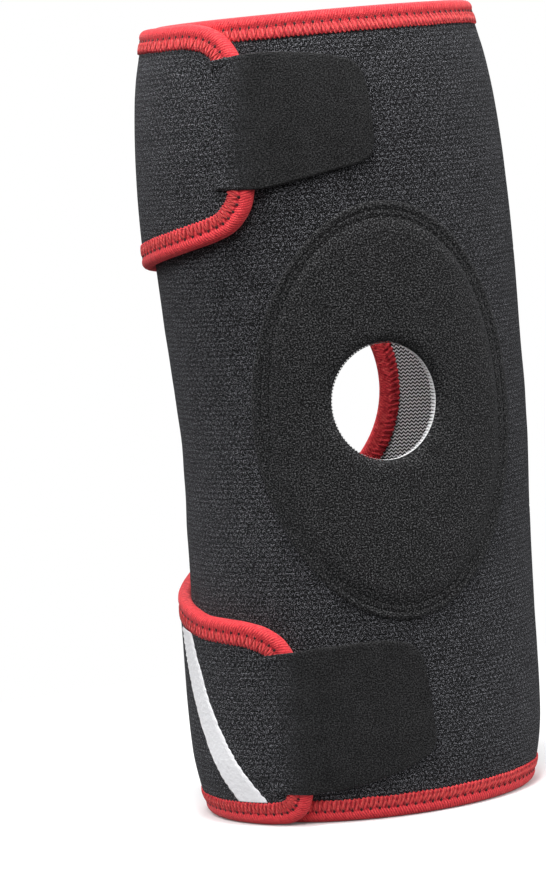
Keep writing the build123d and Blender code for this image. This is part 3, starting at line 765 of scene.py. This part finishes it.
PAD_X, PAD_Z, PAD_A, PAD_B = 2.9, 151.5, 49.4, 77.5
CUT_PHI, CUT_Z, CUT_DPHI, CUT_DZ = 206.0, 155.0, 49.0, 50.0
ROOT = 199.5


def free_phi(z):
    return -123.0 + 5.0 * np.exp(-(((np.asarray(z, float) - CUT_Z) / 52.0) ** 2))


def cut_phi(z):
    t = (np.asarray(z, float) - CUT_Z) / CUT_DZ
    return np.where(np.abs(t) < 1, np.minimum(ROOT, CUT_PHI - CUT_DPHI * np.sqrt(np.clip(1 - t * t, 0, 1))), ROOT)


# ------------------------------------------------------------------ panel
def panel_grid(nphi, zs):
    P = np.empty((nphi, len(zs)))
    for j, z in enumerate(zs):
        lo = free_phi(z) + 4.2
        hi = cut_phi(z)
        if hi < ROOT:
            hi = hi - 4.0 * 1.6 if hi > 175 else hi - 3.8
        else:
            gap = abs(abs(z - CUT_Z) - CUT_DZ)
            hi = ROOT
        P[:, j] = np.linspace(lo, hi, nphi)
    Z = np.broadcast_to(zs, P.shape).copy()
    return P, Z


def front_x(phi, z):
    a, b, cx = section(z)
    return cx + a * np.sin(np.radians(phi))


def inside_hole(P, Z, grow):
    c = np.cos(np.radians(P)) > 0
    e = ((front_x(P, Z) - HOLE_X) / (HOLE_A + grow)) ** 2 + ((Z - HOLE_Z) / (HOLE_B + grow)) ** 2
    return (e < 1) & c


nph = 520
zs = np.linspace(5.0, HEIGHT - 5.0, 230)
P, Z = panel_grid(nph, zs)
und = undulate(P, Z)
dead = inside_hole(P, Z, 3.0)
cell_dead = dead[:-1, :-1] | dead[1:, :-1] | dead[:-1, 1:] | dead[1:, 1:]
fade = smooth(np.minimum(Z - 5, HEIGHT - 5 - Z) / 12.0)
co, fa, uv = slab_mesh(P, Z, und * fade, -2.0, keep=~cell_dead)
panel = mesh_object("panel_outer_shell", co, fa, uv, M_LOOP, "brace_panel")
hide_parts("panel_outer_fabric", "panel_foam_core")
co, fa, uv = slab_mesh(P, Z, -2.05, -4.0 + 0.25 * und * fade, keep=~cell_dead)
lining = mesh_object("panel_lining_shell", co, fa, uv, M_LINING, "brace_panel")
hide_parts("panel_lining")


# ------------------------------------------------------------------ patella pad, in polar coordinates about the hole
def phi_from_x(x, z):
    a, b, cx = section(z)
    return np.degrees(np.arcsin(np.clip((x - cx) / a, -1, 1)))


def polar(t, th):
    """Point between the hole's rim (t=0) and the pad's outline (t=1), in x and z."""
    hx, hz = HOLE_X + HOLE_A * np.cos(th), HOLE_Z + HOLE_B * np.sin(th)
    ox, oz = PAD_X + PAD_A * np.cos(th), PAD_Z + PAD_B * np.sin(th)
    return hx + (ox - hx) * t, hz + (oz - hz) * t


nth = 420
th = np.linspace(0, 2 * math.pi, nth, endpoint=False)
# radial stations: distance from the outline in mm is about (1-t)*len
ox, oz = polar(1.0, th)
hx, hz = polar(0.0, th)
span = np.hypot(ox - hx, oz - hz)
stations = []
for d, o in [(0.0, -0.1), (0.05, 0.35), (0.35, 0.8), (0.9, 1.08), (1.6, 1.16), (2.3, 1.08), (2.75, 0.9), (3.1, 0.78), (3.5, 0.9), (4.0, 1.1), (4.7, 1.12), (5.3, 0.92), (5.7, 0.8), (6.1, 0.95), (7.0, 1.45), (8.5, 1.95), (10.5, 2.3)]:
    stations.append(("out", d, o))
cols_t, cols_o = [], []
for kind, d, o in stations:
    cols_t.append(1 - d / span)
    cols_o.append(np.full(nth, o))
for f in np.linspace(0.0, 1.0, 26)[1:-1]:
    t0 = 1 - 10.5 / span
    t1 = 5.0 / span
    cols_t.append(t0 + (t1 - t0) * f)
    cols_o.append(np.full(nth, 2.3 + 0.25 * math.sin(math.pi * f)))
for d, o in [(5.0, 2.3), (3.6, 2.2), (2.4, 1.95), (1.5, 1.6), (0.9, 1.2), (0.45, 0.7), (0.15, 0.1), (0.0, -0.7), (0.0, -1.6), (0.0, -2.5), (0.15, -3.2), (0.5, -3.8), (1.1, -4.2), (2.0, -4.38), (3.0, -4.4), (4.0, -4.3), (5.0, -4.18), (5.4, -3.9)]:
    cols_t.append(d / span)
    cols_o.append(np.full(nth, o))
T, O = np.array(cols_t).T, np.array(cols_o).T
X, ZZ = polar(T, th[:, None])
PP = phi_from_x(X, ZZ)
tex = undulate(PP, ZZ, 21, 0.3)
inner_part = np.arange(T.shape[1]) >= (T.shape[1] - 11)
O = O + np.where(inner_part[None, :], 0.0, tex * smooth((O - 0.9) / 1.2))
# pucker at the stitched channels
ang_len = th * np.mean(np.hypot(PAD_A, PAD_B)) / 1.414
puck = 0.07 * np.cos(2 * math.pi * ang_len / 3.4)
for j, (kind, d, o) in enumerate(stations):
    if 2.0 < d < 6.5:
        O[:, j] += puck
n_outer = T.shape[1] - 7
padco = world(PP, ZZ, O)
k = T.shape[1]
uvp = np.stack([arc(PP), ZZ], -1) / 1000.0
uvp[:, -18:, :] += np.array([0.0, 0.0])
split = k - 9
pad_front = padco[:, : split + 1]
# the pad closes behind with a flat back
back_t = np.linspace(0, 1, 6)
Tb = (1 - 0.3 / span)[:, None] * back_t[None, :] + (0.12 / span)[:, None]
Xb, Zb = polar(Tb, th[:, None])
backco = world(phi_from_x(Xb, Zb), Zb, np.full(Tb.shape, -0.9))
ring = np.concatenate([pad_front, backco], axis=1)
uvb = np.stack([arc(phi_from_x(Xb, Zb)), Zb], -1) / 1000.0
uvr = np.concatenate([uvp[:, : split + 1], uvb], axis=1)
kk = ring.shape[1]
pad = mesh_object("patella_pad", ring.reshape(-1, 3), grid_faces(nth, kk, wrap_u=True, wrap_v=True), uvr.reshape(-1, 2), M_PAD, "brace_panel")
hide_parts("patella_pad_foam", "patella_pad_cover")

# inner rim of the hole: lining turned over the edge
lip = [(0.0, -1.0), (0.0, -1.9), (0.0, -2.8), (0.12, -3.5), (0.5, -4.05), (1.1, -4.42), (2.0, -4.55), (3.2, -4.5), (4.4, -4.3), (5.6, -4.12), (6.0, -3.7), (4.5, -3.0), (1.2, -1.8)]
Tl = np.array([d / span for d, _ in lip]).T
Xl, Zl = polar(Tl, th[:, None])
Ol = np.broadcast_to(np.array([o for _, o in lip]), Tl.shape)
lipco = world(phi_from_x(Xl, Zl), Zl, Ol)
uvl = np.stack([np.repeat(ang_len[:, None] * 0.4, len(lip), 1), np.broadcast_to(np.cumsum(np.hypot(*np.diff(np.array([lip[0]] + lip), axis=0).T)), Tl.shape)], -1) / 1000.0
lipo = mesh_object("patella_hole_lip", lipco.reshape(-1, 3), grid_faces(nth, len(lip), wrap_u=True, wrap_v=True), uvl.reshape(-1, 2), M_PAD, "brace_panel")

# overlocked thread round the back of the hole
co_l, q_l, uv_l, cap_l = [], [], [], []
nst = 104
ringn, segs = 6, 13
ang = np.linspace(0, 2 * math.pi, ringn, endpoint=False)
base = 0
for i in range(nst):
    t0 = 2 * math.pi * i / nst
    for kind in (0, 1):
        q_ = np.linspace(0.0, 1.0, segs)
        w = np.interp(q_, [0, 0.35, 0.5, 0.62, 1.0], [-0.42, -0.28, 0.15, 0.9, 2.9])
        off = np.interp(q_, [0, 0.35, 0.5, 0.62, 1.0], [-0.55, -3.4, -4.3, -4.7, -4.78])
        tt = t0 + (0.034 * q_ if kind else -0.034 * q_) + (0.0 if kind else 2 * math.pi / nst * 0.5)
        sx, sz = HOLE_X + HOLE_A * np.cos(tt), HOLE_Z + HOLE_B * np.sin(tt)
        nx, nz = np.cos(tt) / HOLE_A, np.sin(tt) / HOLE_B
        ln = np.hypot(nx, nz)
        nx, nz = nx / ln, nz / ln
        cx_, cz_ = sx + nx * w, sz + nz * w
        txx, tzz = -nz, nx
        r = 0.3
        xx = cx_[:, None] + txx[:, None] * r * np.cos(ang)
        zz = cz_[:, None] + tzz[:, None] * r * np.cos(ang)
        oo = off[:, None] - r * np.sin(ang)
        p = world(phi_from_x(xx, zz), zz, oo).reshape(-1, 3)
        co_l.append(np.concatenate([p, [p[:ringn].mean(0)], [p[-ringn:].mean(0)]]))
        q_l.append(grid_faces(segs, ringn, wrap_v=True) + base)
        j = np.arange(ringn)
        cap_l.append(np.stack([np.full(ringn, segs * ringn), j, (j + 1) % ringn], -1) + base)
        cap_l.append(np.stack([np.full(ringn, segs * ringn + 1), (segs - 1) * ringn + (j + 1) % ringn, (segs - 1) * ringn + j], -1) + base)
        uv_l.append(np.tile([[t0, 0.0]], (segs * ringn + 2, 1)))
        base += segs * ringn + 2
hole_thread = build_mixed("patella_hole_overlock", [(np.concatenate(co_l), np.concatenate(q_l), np.concatenate(uv_l), (np.concatenate(cap_l),))], M_PALE)
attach(hole_thread, "brace_panel")
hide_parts("patella_hole_thread")


def closed_stitches(d, off, pitch, length, rad):
    """Stitches round the pad, d mm in from its outline."""
    n = 720
    t = np.linspace(0, 2 * math.pi, n + 1)
    x, z = PAD_X + (PAD_A - d) * np.cos(t), PAD_Z + (PAD_B - d) * np.sin(t)
    ph = phi_from_x(x, z)
    u = np.stack([arc(ph), z], -1)
    run = np.concatenate([[0], np.cumsum(np.linalg.norm(np.diff(u, axis=0), axis=1))])
    return stitch_parts(ph, z, run, 1, 0.0, off, pitch, length, rad)


pad_st = build_mixed("patella_pad_stitches", [closed_stitches(3.1, 0.86, 3.4, 2.5, 0.2), closed_stitches(5.7, 0.88, 3.4, 2.5, 0.2)], M_DIM)
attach(pad_st, "brace_panel")
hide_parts("patella_pad_thread")


# ------------------------------------------------------------------ panel's tapes
def straight(p0, p1, z, step=0.62):
    n = int((arc(p1) - arc(p0)) / step)
    ph = phi_of(np.linspace(arc(p0), arc(p1), n))
    return ph, np.full(n, float(z)), np.linspace(0, arc(p1) - arc(p0), n)


STEP = 0.52


def dense(curve):
    return resample(curve, STEP)


def tape_pair(name, ph, z, run, side, b, total, seed):
    """The tape, its zigzag and its needle holes."""
    ob = build_mixed(f"{name}_tape", [tape_mesh(ph, z, run, side, b, total, seed=seed)], M_TAPE)
    st = build_mixed(f"{name}_zigzag", zigzag_parts(ph, z, run, side, b), M_REDTHREAD)
    ho = build_mixed(f"{name}_holes", hole_parts(ph, z, run, side, b), M_HOLE)
    return ob, st, ho


def tape_object(name, nodes, body, curve, side, base, total=4.0, seed=0, thread_nodes=()):
    ph, z, run = curve
    b = np.full(len(ph), float(base))
    ob, st, ho = tape_pair(name, ph, z, run, side, b, total, seed)
    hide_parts(*nodes)
    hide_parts(*thread_nodes)
    for o in (ob, st, ho):
        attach(o, body)


wav_top = straight(-121.5, ROOT, HEIGHT - 0.35, STEP)
tape_object("top_edge", ["top_edge_binding"], "brace_panel", wav_top, -1, 0.0, seed=1, thread_nodes=["top_edge_thread"])
wav_low = straight(-121.5, ROOT, 0.35, STEP)
tape_object("bottom_edge", ["bottom_edge_binding"], "brace_panel", wav_low, 1, 0.0, seed=2, thread_nodes=["bottom_edge_thread"])

zf = np.linspace(8.0, HEIGHT - 8.0, 60)
free_curve = dense(list(zip(free_phi(zf), zf)))
tape_object("free_edge", ["free_edge_binding"], "brace_panel", free_curve, -1, 0.0, seed=3, thread_nodes=["free_edge_thread"])

thc = math.acos((CUT_PHI - ROOT) / CUT_DPHI)
ta = np.linspace(thc, -thc, 90)
pop_curve = dense(list(zip(CUT_PHI - CUT_DPHI * np.cos(ta), CUT_Z + CUT_DZ * np.sin(ta))))
tape_object("popliteal", ["popliteal_binding"], "brace_panel", pop_curve, -1, 0.0, seed=4, thread_nodes=["popliteal_thread"])


# ------------------------------------------------------------------ straps
def edge_at(curve, phi):
    c = np.array(curve, float)
    ph, z, _ = resample([tuple(q) for q in c], 0.8)
    o = np.argsort(ph)
    return np.interp(phi, ph[o], z[o])


def strap_outline(top, end, low):
    k = len(end) // 2
    return top + end[1 : k + 1], low + end[::-1][1 : len(end) - k]


SPLIT = 234.0


def strap_objects(name, top, end, low, seed, tab_z):
    tcurve, lcurve = strap_outline(top, end, low)
    tip = min(tcurve[-1][0], lcurve[-1][0]) - 0.15
    sets = [("rear", ROOT + 0.9, SPLIT, ("brace_panel", f"{name}_strap_rear")), ("front", SPLIT, tip, (f"{name}_strap_rear", f"{name}_strap_front"))]
    out = []
    for part, p0, p1, bodies in sets:
        n = int((arc(p1) - arc(p0)) / (0.85))
        s = np.linspace(0, 1, n)
        if part == "front":
            s = 1 - (1 - s) ** 1.15
        ph = phi_of(arc(p0) + (arc(p1) - arc(p0)) * s)
        zt, zl = edge_at(tcurve, ph) - 3.2, edge_at(lcurve, ph) + 3.2
        zt = np.maximum(zt, zl + 2)
        m = 110
        v = np.linspace(0, 1, m)
        PH = np.repeat(ph[:, None], m, 1)
        ZZ_ = zl[:, None] + (zt - zl)[:, None] * v
        und_ = undulate(PH, ZZ_, seed, 0.3) * smooth(np.minimum(v, 1 - v) * 12)[None, :]
        base = strap_in(PH)
        co, fa, uv = slab_mesh(PH, ZZ_, base + 3.5 + und_, base + 1.6)
        uv = uv + np.array([0.013 * seed, 0.007])
        a = mesh_object(f"{name}_strap_{part}_shell", co, fa, uv, M_LOOP)
        co, fa, uv = slab_mesh(PH, ZZ_, base + 1.55, base + 0.05)
        b = mesh_object(f"{name}_strap_{part}_inner", co, fa, uv, M_LINING)
        out.append((part, a, b))
        pieces = [a, b]
        for tag, curve, side in (("top", tcurve, -1), ("low", lcurve, 1)):
            pc, zc, rc = resample([tuple(q) for q in curve], STEP)
            if part == "front":
                # the tapes run in under the tab and stop there
                under = (pc > 318.5) & ((zc < tab_z[1] - 7) if tag == "top" else (zc > tab_z[0] + 7))
                stop = int(np.argmax(under)) if under.any() else len(pc)
                sel = (pc >= p0) & (np.arange(len(pc)) < stop)
            else:
                sel = (pc >= p0) & (pc <= p1 + 0.5)
            pc, zc, rc = pc[sel], zc[sel], rc[sel] - rc[sel][0]
            zc = np.clip(zc, 0.35, HEIGHT - 0.35)
            base_o = strap_in(pc) + 3.5
            if part == "front":
                zt_in, zl_in = tab_z[1] - 2.0, tab_z[0] + 1.6
                if tag == "top":
                    DIVE[0] = lambda p, z, e=zt_in: 2.4 * smooth((e - z) / 1.2) * smooth((p - 306.0) / 3.0)
                else:
                    DIVE[0] = lambda p, z, e=zl_in: 2.4 * smooth((z - e) / 1.2) * smooth((p - 306.0) / 3.0)
            t_ob, t_st, t_ho = tape_pair(f"{name}_strap_{part}_{tag}", pc, zc, rc, side, base_o, 3.5, seed + len(tag))
            DIVE[0] = lambda p, z: 0.0 * p
            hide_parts(f"{name}_strap_{part}_{tag}_binding")
            if tag == "top":
                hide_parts(f"{name}_strap_{part}_thread")
            pieces += [t_ob, t_st, t_ho]
        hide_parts(f"{name}_strap_{part}_fabric", f"{name}_strap_{part}_core")
        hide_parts(f"{name}_strap_{part}_lining")
        zm = (zt[0] + zl[0]) / 2
        if part == "rear":
            s0, s1 = world(200.3, zm, 0.2), world(212.0, zm, 0.2)
        else:
            s0, s1 = world(257.0, zm, 4.2), world(273.0, zm, 4.2)
        for p in pieces:
            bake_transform(p)
    return out


strap_objects("upper", UPPER_TOP, UPPER_END, UPPER_LOW, 5, (237.0, 286.4))
strap_objects("lower", LOWER_TOP, LOWER_END, LOWER_LOW, 6, (12.2, 66.5))


# ------------------------------------------------------------------ tabs
def tab_low(phi, on_strap):
    """Offset of the tab's underside."""
    return on_strap + (0.55 - on_strap) * smooth((np.asarray(phi, float) - 325.7) / 6.2)


TAB_START = 312.9


def tab_objects(name, pts, seed):
    pts = np.array(pts, float)
    k = int(np.argmax(pts[:, 0]))
    top = [(TAB_START, pts[0, 1] - 1.6), (317.0, pts[0, 1] - 1.0), (322.5, pts[0, 1] - 0.4)] + [tuple(q) for q in pts[: k + 1]]
    low = [(TAB_START, pts[-1, 1] + 0.9), (317.0, pts[-1, 1] + 0.5), (322.5, pts[-1, 1] + 0.2)] + [tuple(q) for q in pts[k:][::-1]]
    pt, zt, _ = resample(top, 0.5)
    pl, zl, _ = resample(low, 0.5)
    pmax = min(pt.max(), pl.max()) - 0.02
    ot, ol = np.argsort(pt), np.argsort(pl)
    n, m = ((170, 110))
    s = np.linspace(0, 1, n)
    s = 1 - (1 - s) ** 2.0
    ph = TAB_START + (pmax - TAB_START) * s
    ztop, zlow = np.interp(ph, pt[ot], zt[ot]), np.interp(ph, pl[ol], zl[ol])
    PH = np.repeat(ph[:, None], m, 1)
    v = (1 - np.cos(np.linspace(0, math.pi, m))) / 2
    v = 0.5 * v + 0.5 * np.linspace(0, 1, m)
    Zt = zlow[:, None] + (ztop - zlow)[:, None] * v
    # distance to the edge, for its rounding; the sewn end is skived down to nothing
    mm_phi = 1.05
    dz = np.minimum(Zt - zlow[:, None], ztop[:, None] - Zt)
    dr = (pmax - PH) * mm_phi
    edge = np.minimum(dz, dr)
    rnd = np.sqrt(np.clip(1 - (1 - np.clip(edge / 1.1, 0, 1)) ** 2, 0, 1))
    skive = smooth((PH - TAB_START) / 12.0)
    corner = smooth((5.5 - dz) / 4.0) * smooth((PH - TAB_START) / 1.2)
    thin = np.maximum(skive, 0.75 * corner)
    und_ = undulate(PH, Zt, seed, 0.28)
    baseoff = tab_low(PH, 4.3)
    wave = 0.35 * smooth((PH - 336.5) / 20) * np.sin(Zt / 11.0 + seed) * smooth(edge / 6)
    mid = baseoff - 0.06 + 0.86 * thin
    outer = mid + 0.1 + (0.85 * rnd * thin) + und_ * smooth(edge / 3) + 0.3 * np.abs(wave)
    inner = mid - (0.72 * rnd * thin)
    co, fa, uv = slab_mesh(PH, Zt, outer, inner)
    uv = uv + TAB_UV
    ob = mesh_object(f"{name}_tab_shell", co, fa, uv, M_TAB)
    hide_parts(f"{name}_tab_sewn_end", f"{name}_tab_backing")
    # hook tape under the free part
    sel = (ph > 333.0) & (ph < pmax - 1.2)
    P2 = PH[sel]
    v2 = np.linspace(0.03, 0.97, m)
    Z2 = zlow[sel][:, None] + (ztop - zlow)[sel][:, None] * v2
    b2 = tab_low(P2, 4.3)
    co, fa, uv = slab_mesh(P2, Z2, b2 + 0.0, b2 - 0.35)
    hk = mesh_object(f"{name}_tab_hooks", co, fa, uv, M_HOOK, f"{name}_tab")
    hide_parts(f"{name}_hook_tape")
    # stitched box on the sewn end
    zt_, zl_ = pts[0, 1], pts[-1, 1]
    box = [(319.6, (zt_ + zl_) / 2), (319.6, zt_ - 6), (320.1, zt_ - 4.2), (322, zt_ - 3.6), (324.6, zt_ - 3.4)]
    box2 = [(319.6, (zt_ + zl_) / 2), (319.6, zl_ + 6), (320.1, zl_ + 4.2), (322, zl_ + 3.6), (324.6, zl_ + 3.4)]
    parts = []
    for c in (box, box2):
        p_, z_, r_ = resample(c, 0.8)
        d_ = np.minimum(zt_ - z_, z_ - zl_)
        t_ = np.maximum(smooth((p_ - TAB_START) / 12.0), 0.75 * smooth((5.5 - d_) / 4.0))
        o_ = tab_low(p_, 4.3) + 0.04 + 1.71 * t_ + undulate(p_, z_, seed, 0.28) * smooth(d_ / 3)
        parts.append(stitch_parts(p_, z_, r_, 1, 0.0, o_, 2.6, 1.9, 0.12))
    st = build_mixed(f"{name}_tab_stitches", parts, M_DIM)
    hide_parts(f"{name}_tab_thread")
    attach(st, f"{name}_strap_front")
    zm = (zt_ + zl_) / 2
    s0, s1 = world(327.5, zm, 2.5), world(337.5, zm, 2.0)
    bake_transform(ob)
    return ob


tab_objects("upper", UPPER_TAB, 7)
tab_objects("lower", LOWER_TAB, 8)

# ------------------------------------------------------------------ pale band across the lower strap
left = [(267.5, 73.2), (270.9, 62.0), (276.1, 48.0), (283.1, 32.0), (290.5, 18.5), (296.7, 9.2)]
right = [(278.1, 72.2), (281.9, 62.0), (287.7, 48.0), (295.1, 32.5), (302.9, 19.5), (309.9, 9.2)]
pl_, zl_, _ = resample(left, 0.7)
pr_, zr_, _ = resample(right, 0.7)
n = 160
sidx = np.linspace(0, 1, n)
lp, lz = np.interp(sidx, np.linspace(0, 1, len(pl_)), pl_), np.interp(sidx, np.linspace(0, 1, len(pl_)), zl_)
rp, rz = np.interp(sidx, np.linspace(0, 1, len(pr_)), pr_), np.interp(sidx, np.linspace(0, 1, len(pr_)), zr_)
m = 22
v = np.linspace(0, 1, m)
ragged = 0.35 * value_noise(sidx * 60, sidx * 0 + 2.0, 77)
PB = (lp + ragged)[:, None] * (1 - v) + (rp + 0.35 * value_noise(sidx * 60, sidx * 0 + 9.0, 78))[:, None] * v
ZB = lz[:, None] * (1 - v) + rz[:, None] * v
ub = undulate(PB, ZB, 6, 0.3)
baseb = strap_in(PB) + 3.5
edge_v = np.minimum(v, 1 - v)[None, :] * 22
rb = smooth(edge_v / 1.5)
co, fa, uv = slab_mesh(PB, ZB, baseb + ub + 0.1 + 0.35 * rb, baseb - 0.2)
band = mesh_object("lower_strap_band", co, fa, uv, M_WHITE)
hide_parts("lower_strap_stripe")
bst = []
for frac in (0.1, 0.9):
    pb_, zb_ = lp + (rp - lp) * frac, lz + (rz - lz) * frac
    ubb = np.stack([arc(pb_), zb_], -1)
    rb_ = np.concatenate([[0], np.cumsum(np.linalg.norm(np.diff(ubb, axis=0), axis=1))])
    bst.append(stitch_parts(pb_, zb_, rb_, 1, 0.0, strap_in(pb_) + 3.5 + undulate(pb_, zb_, 6, 0.3) + 0.5, 2.4, 1.3, 0.13))
bstitch = build_mixed("lower_strap_band_stitches", bst, M_PALE)
s0, s1 = world(257.0, 40, 4.2), world(273.0, 40, 4.2)
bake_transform(bstitch)
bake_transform(band)

# ------------------------------------------------------------------ flat seams where the straps leave the panel
for name, z0, z1 in (("upper", 215.0, 291.0), ("lower", 9.0, 95.0)):
    parts = []
    for off_phi in (-1.2, -3.4):
        zc = np.linspace(z0, z1, 90)
        pc = np.full(90, 200.0 + off_phi)
        parts.append(stitch_parts(pc, zc, zc - z0, 1, 0.0, np.full(90, 0.28), 2.6, 2.3, 0.24, zigzag=0.75))
    sm = build_mixed(f"{name}_root_seam_stitches", parts, M_THREAD)
    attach(sm, "brace_panel")
    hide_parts(f"{name}_root_seam")

# ------------------------------------------------------------------ floor, light, camera
bpy.ops.mesh.primitive_plane_add(size=14, location=(0, 0, 0))
floor = bpy.context.object
floor.name = "floor"
fmat, fnt, fb = nodes_of("floor_white")
fg = G(fnt)
fn = fg.noise(fg.obj(), 3.0, 2.0)
fx_, fy_, _ = fg.split(fg.obj())
far_ = fg.range(fg.math("SQRT", fg.math("ADD", fg.math("MULTIPLY", fx_, fx_), fg.math("MULTIPLY", fy_, fy_))), 0.10, 0.34, 0.0, 1.0)
near_col = fg.mix(fn, (0.80, 0.80, 0.805), (0.82, 0.82, 0.825))
flp = fnt.nodes.new("ShaderNodeLightPath")
near_col = fg.mix(flp.outputs["Is Camera Ray"], (0.36, 0.36, 0.365), near_col)
fnt.links.new(fg.mix(far_, near_col, (0.0, 0.0, 0.0)), fb.inputs["Base Color"])
fb.inputs["Emission Color"].default_value = (1, 1, 1, 1)
seen = fg.range(flp.outputs["Is Camera Ray"], 0.0, 1.0, 0.08, 1.0)
fnt.links.new(fg.math("MULTIPLY", fg.range(far_, 0.0, 1.0, 0.06, 1.0), seen), fb.inputs["Emission Strength"])
finish_bsdf(fb, 0.9, spec=0.0)
floor.data.materials.append(fmat)

world_ = bpy.data.worlds.new("studio")
bpy.context.scene.world = world_
world_.use_nodes = True
wn = world_.node_tree
bg = wn.nodes["Background"]
bg.inputs[0].default_value = (1.0, 1.0, 1.0, 1)
# the studio's walls read white, and light the object more softly than that
lp = wn.nodes.new("ShaderNodeLightPath")
st_ = wn.nodes.new("ShaderNodeMapRange")
wn.links.new(lp.outputs["Is Camera Ray"], st_.inputs[0])
st_.inputs[3].default_value, st_.inputs[4].default_value = 0.5, 1.0
wn.links.new(st_.outputs[0], bg.inputs[1])


def area(name, loc, target, size, power, color=(1, 1, 1)):
    d = bpy.data.lights.new(name, "AREA")
    d.shape, d.size, d.size_y, d.energy, d.color = "RECTANGLE", size[0], size[1], power, color
    o = bpy.data.objects.new(name, d)
    bpy.context.scene.collection.objects.link(o)
    o.location = loc
    o.rotation_mode = "QUATERNION"
    o.rotation_quaternion = (Vector(target) - Vector(loc)).to_track_quat("-Z", "Y")
    return o


area("key", (-0.45, -0.85, 1.15), (0, 0, 0.17), (0.6, 0.6), 11)
area("fill", (1.5, -0.8, 0.8), (0, 0, 0.15), (0.8, 1.0), 16)
area("side", (-0.9, -0.05, 0.95), (0, 0, 0.2), (0.5, 0.6), 4.8)
area("back", (0.5, 1.5, 1.3), (0, 0, 0.2), (0.8, 0.8), 14)
area("top", (-0.02, -0.30, 1.45), (0, 0.045, 0.15), (0.25, 0.25), 13)

# camera: in front of the knee, a little to its left, level with the upper edge
AZ, DIST, EYE, YAW, PITCH, ROLL, FPX = -14.683, 1300.0, 260.9955, 1.2894, -5.315, -5.2562, 3404.7462
az = math.radians(AZ)
C = Vector(((SX + DIST * math.sin(az)) / 1000, (SY - DIST * math.cos(az)) / 1000, EYE / 1000))
d = Vector((-math.sin(az), math.cos(az), 0))
yw = math.radians(YAW)
d = Vector((d.x * math.cos(yw) - d.y * math.sin(yw), d.x * math.sin(yw) + d.y * math.cos(yw), 0))
pt_ = math.radians(PITCH)
fwd = Vector((d.x * math.cos(pt_), d.y * math.cos(pt_), math.sin(pt_)))
right_ = fwd.cross(Vector((0, 0, 1))).normalized()
up = right_.cross(fwd)
rl = math.radians(ROLL)
r2 = right_ * math.cos(rl) + up * math.sin(rl)
u2 = up * math.cos(rl) - right_ * math.sin(rl)
cam_d = bpy.data.cameras.new("camera")
cam = bpy.data.objects.new("camera", cam_d)
bpy.context.scene.collection.objects.link(cam)
cam.matrix_world = Matrix(((r2.x, u2.x, -fwd.x, C.x), (r2.y, u2.y, -fwd.y, C.y), (r2.z, u2.z, -fwd.z, C.z), (0, 0, 0, 1)))
cam_d.sensor_width = 36
cam_d.lens = FPX * 36 / 879
cam_d.clip_start, cam_d.clip_end = 0.05, 50
bpy.context.scene.camera = cam
bpy.context.scene.view_settings.view_transform = "Standard"
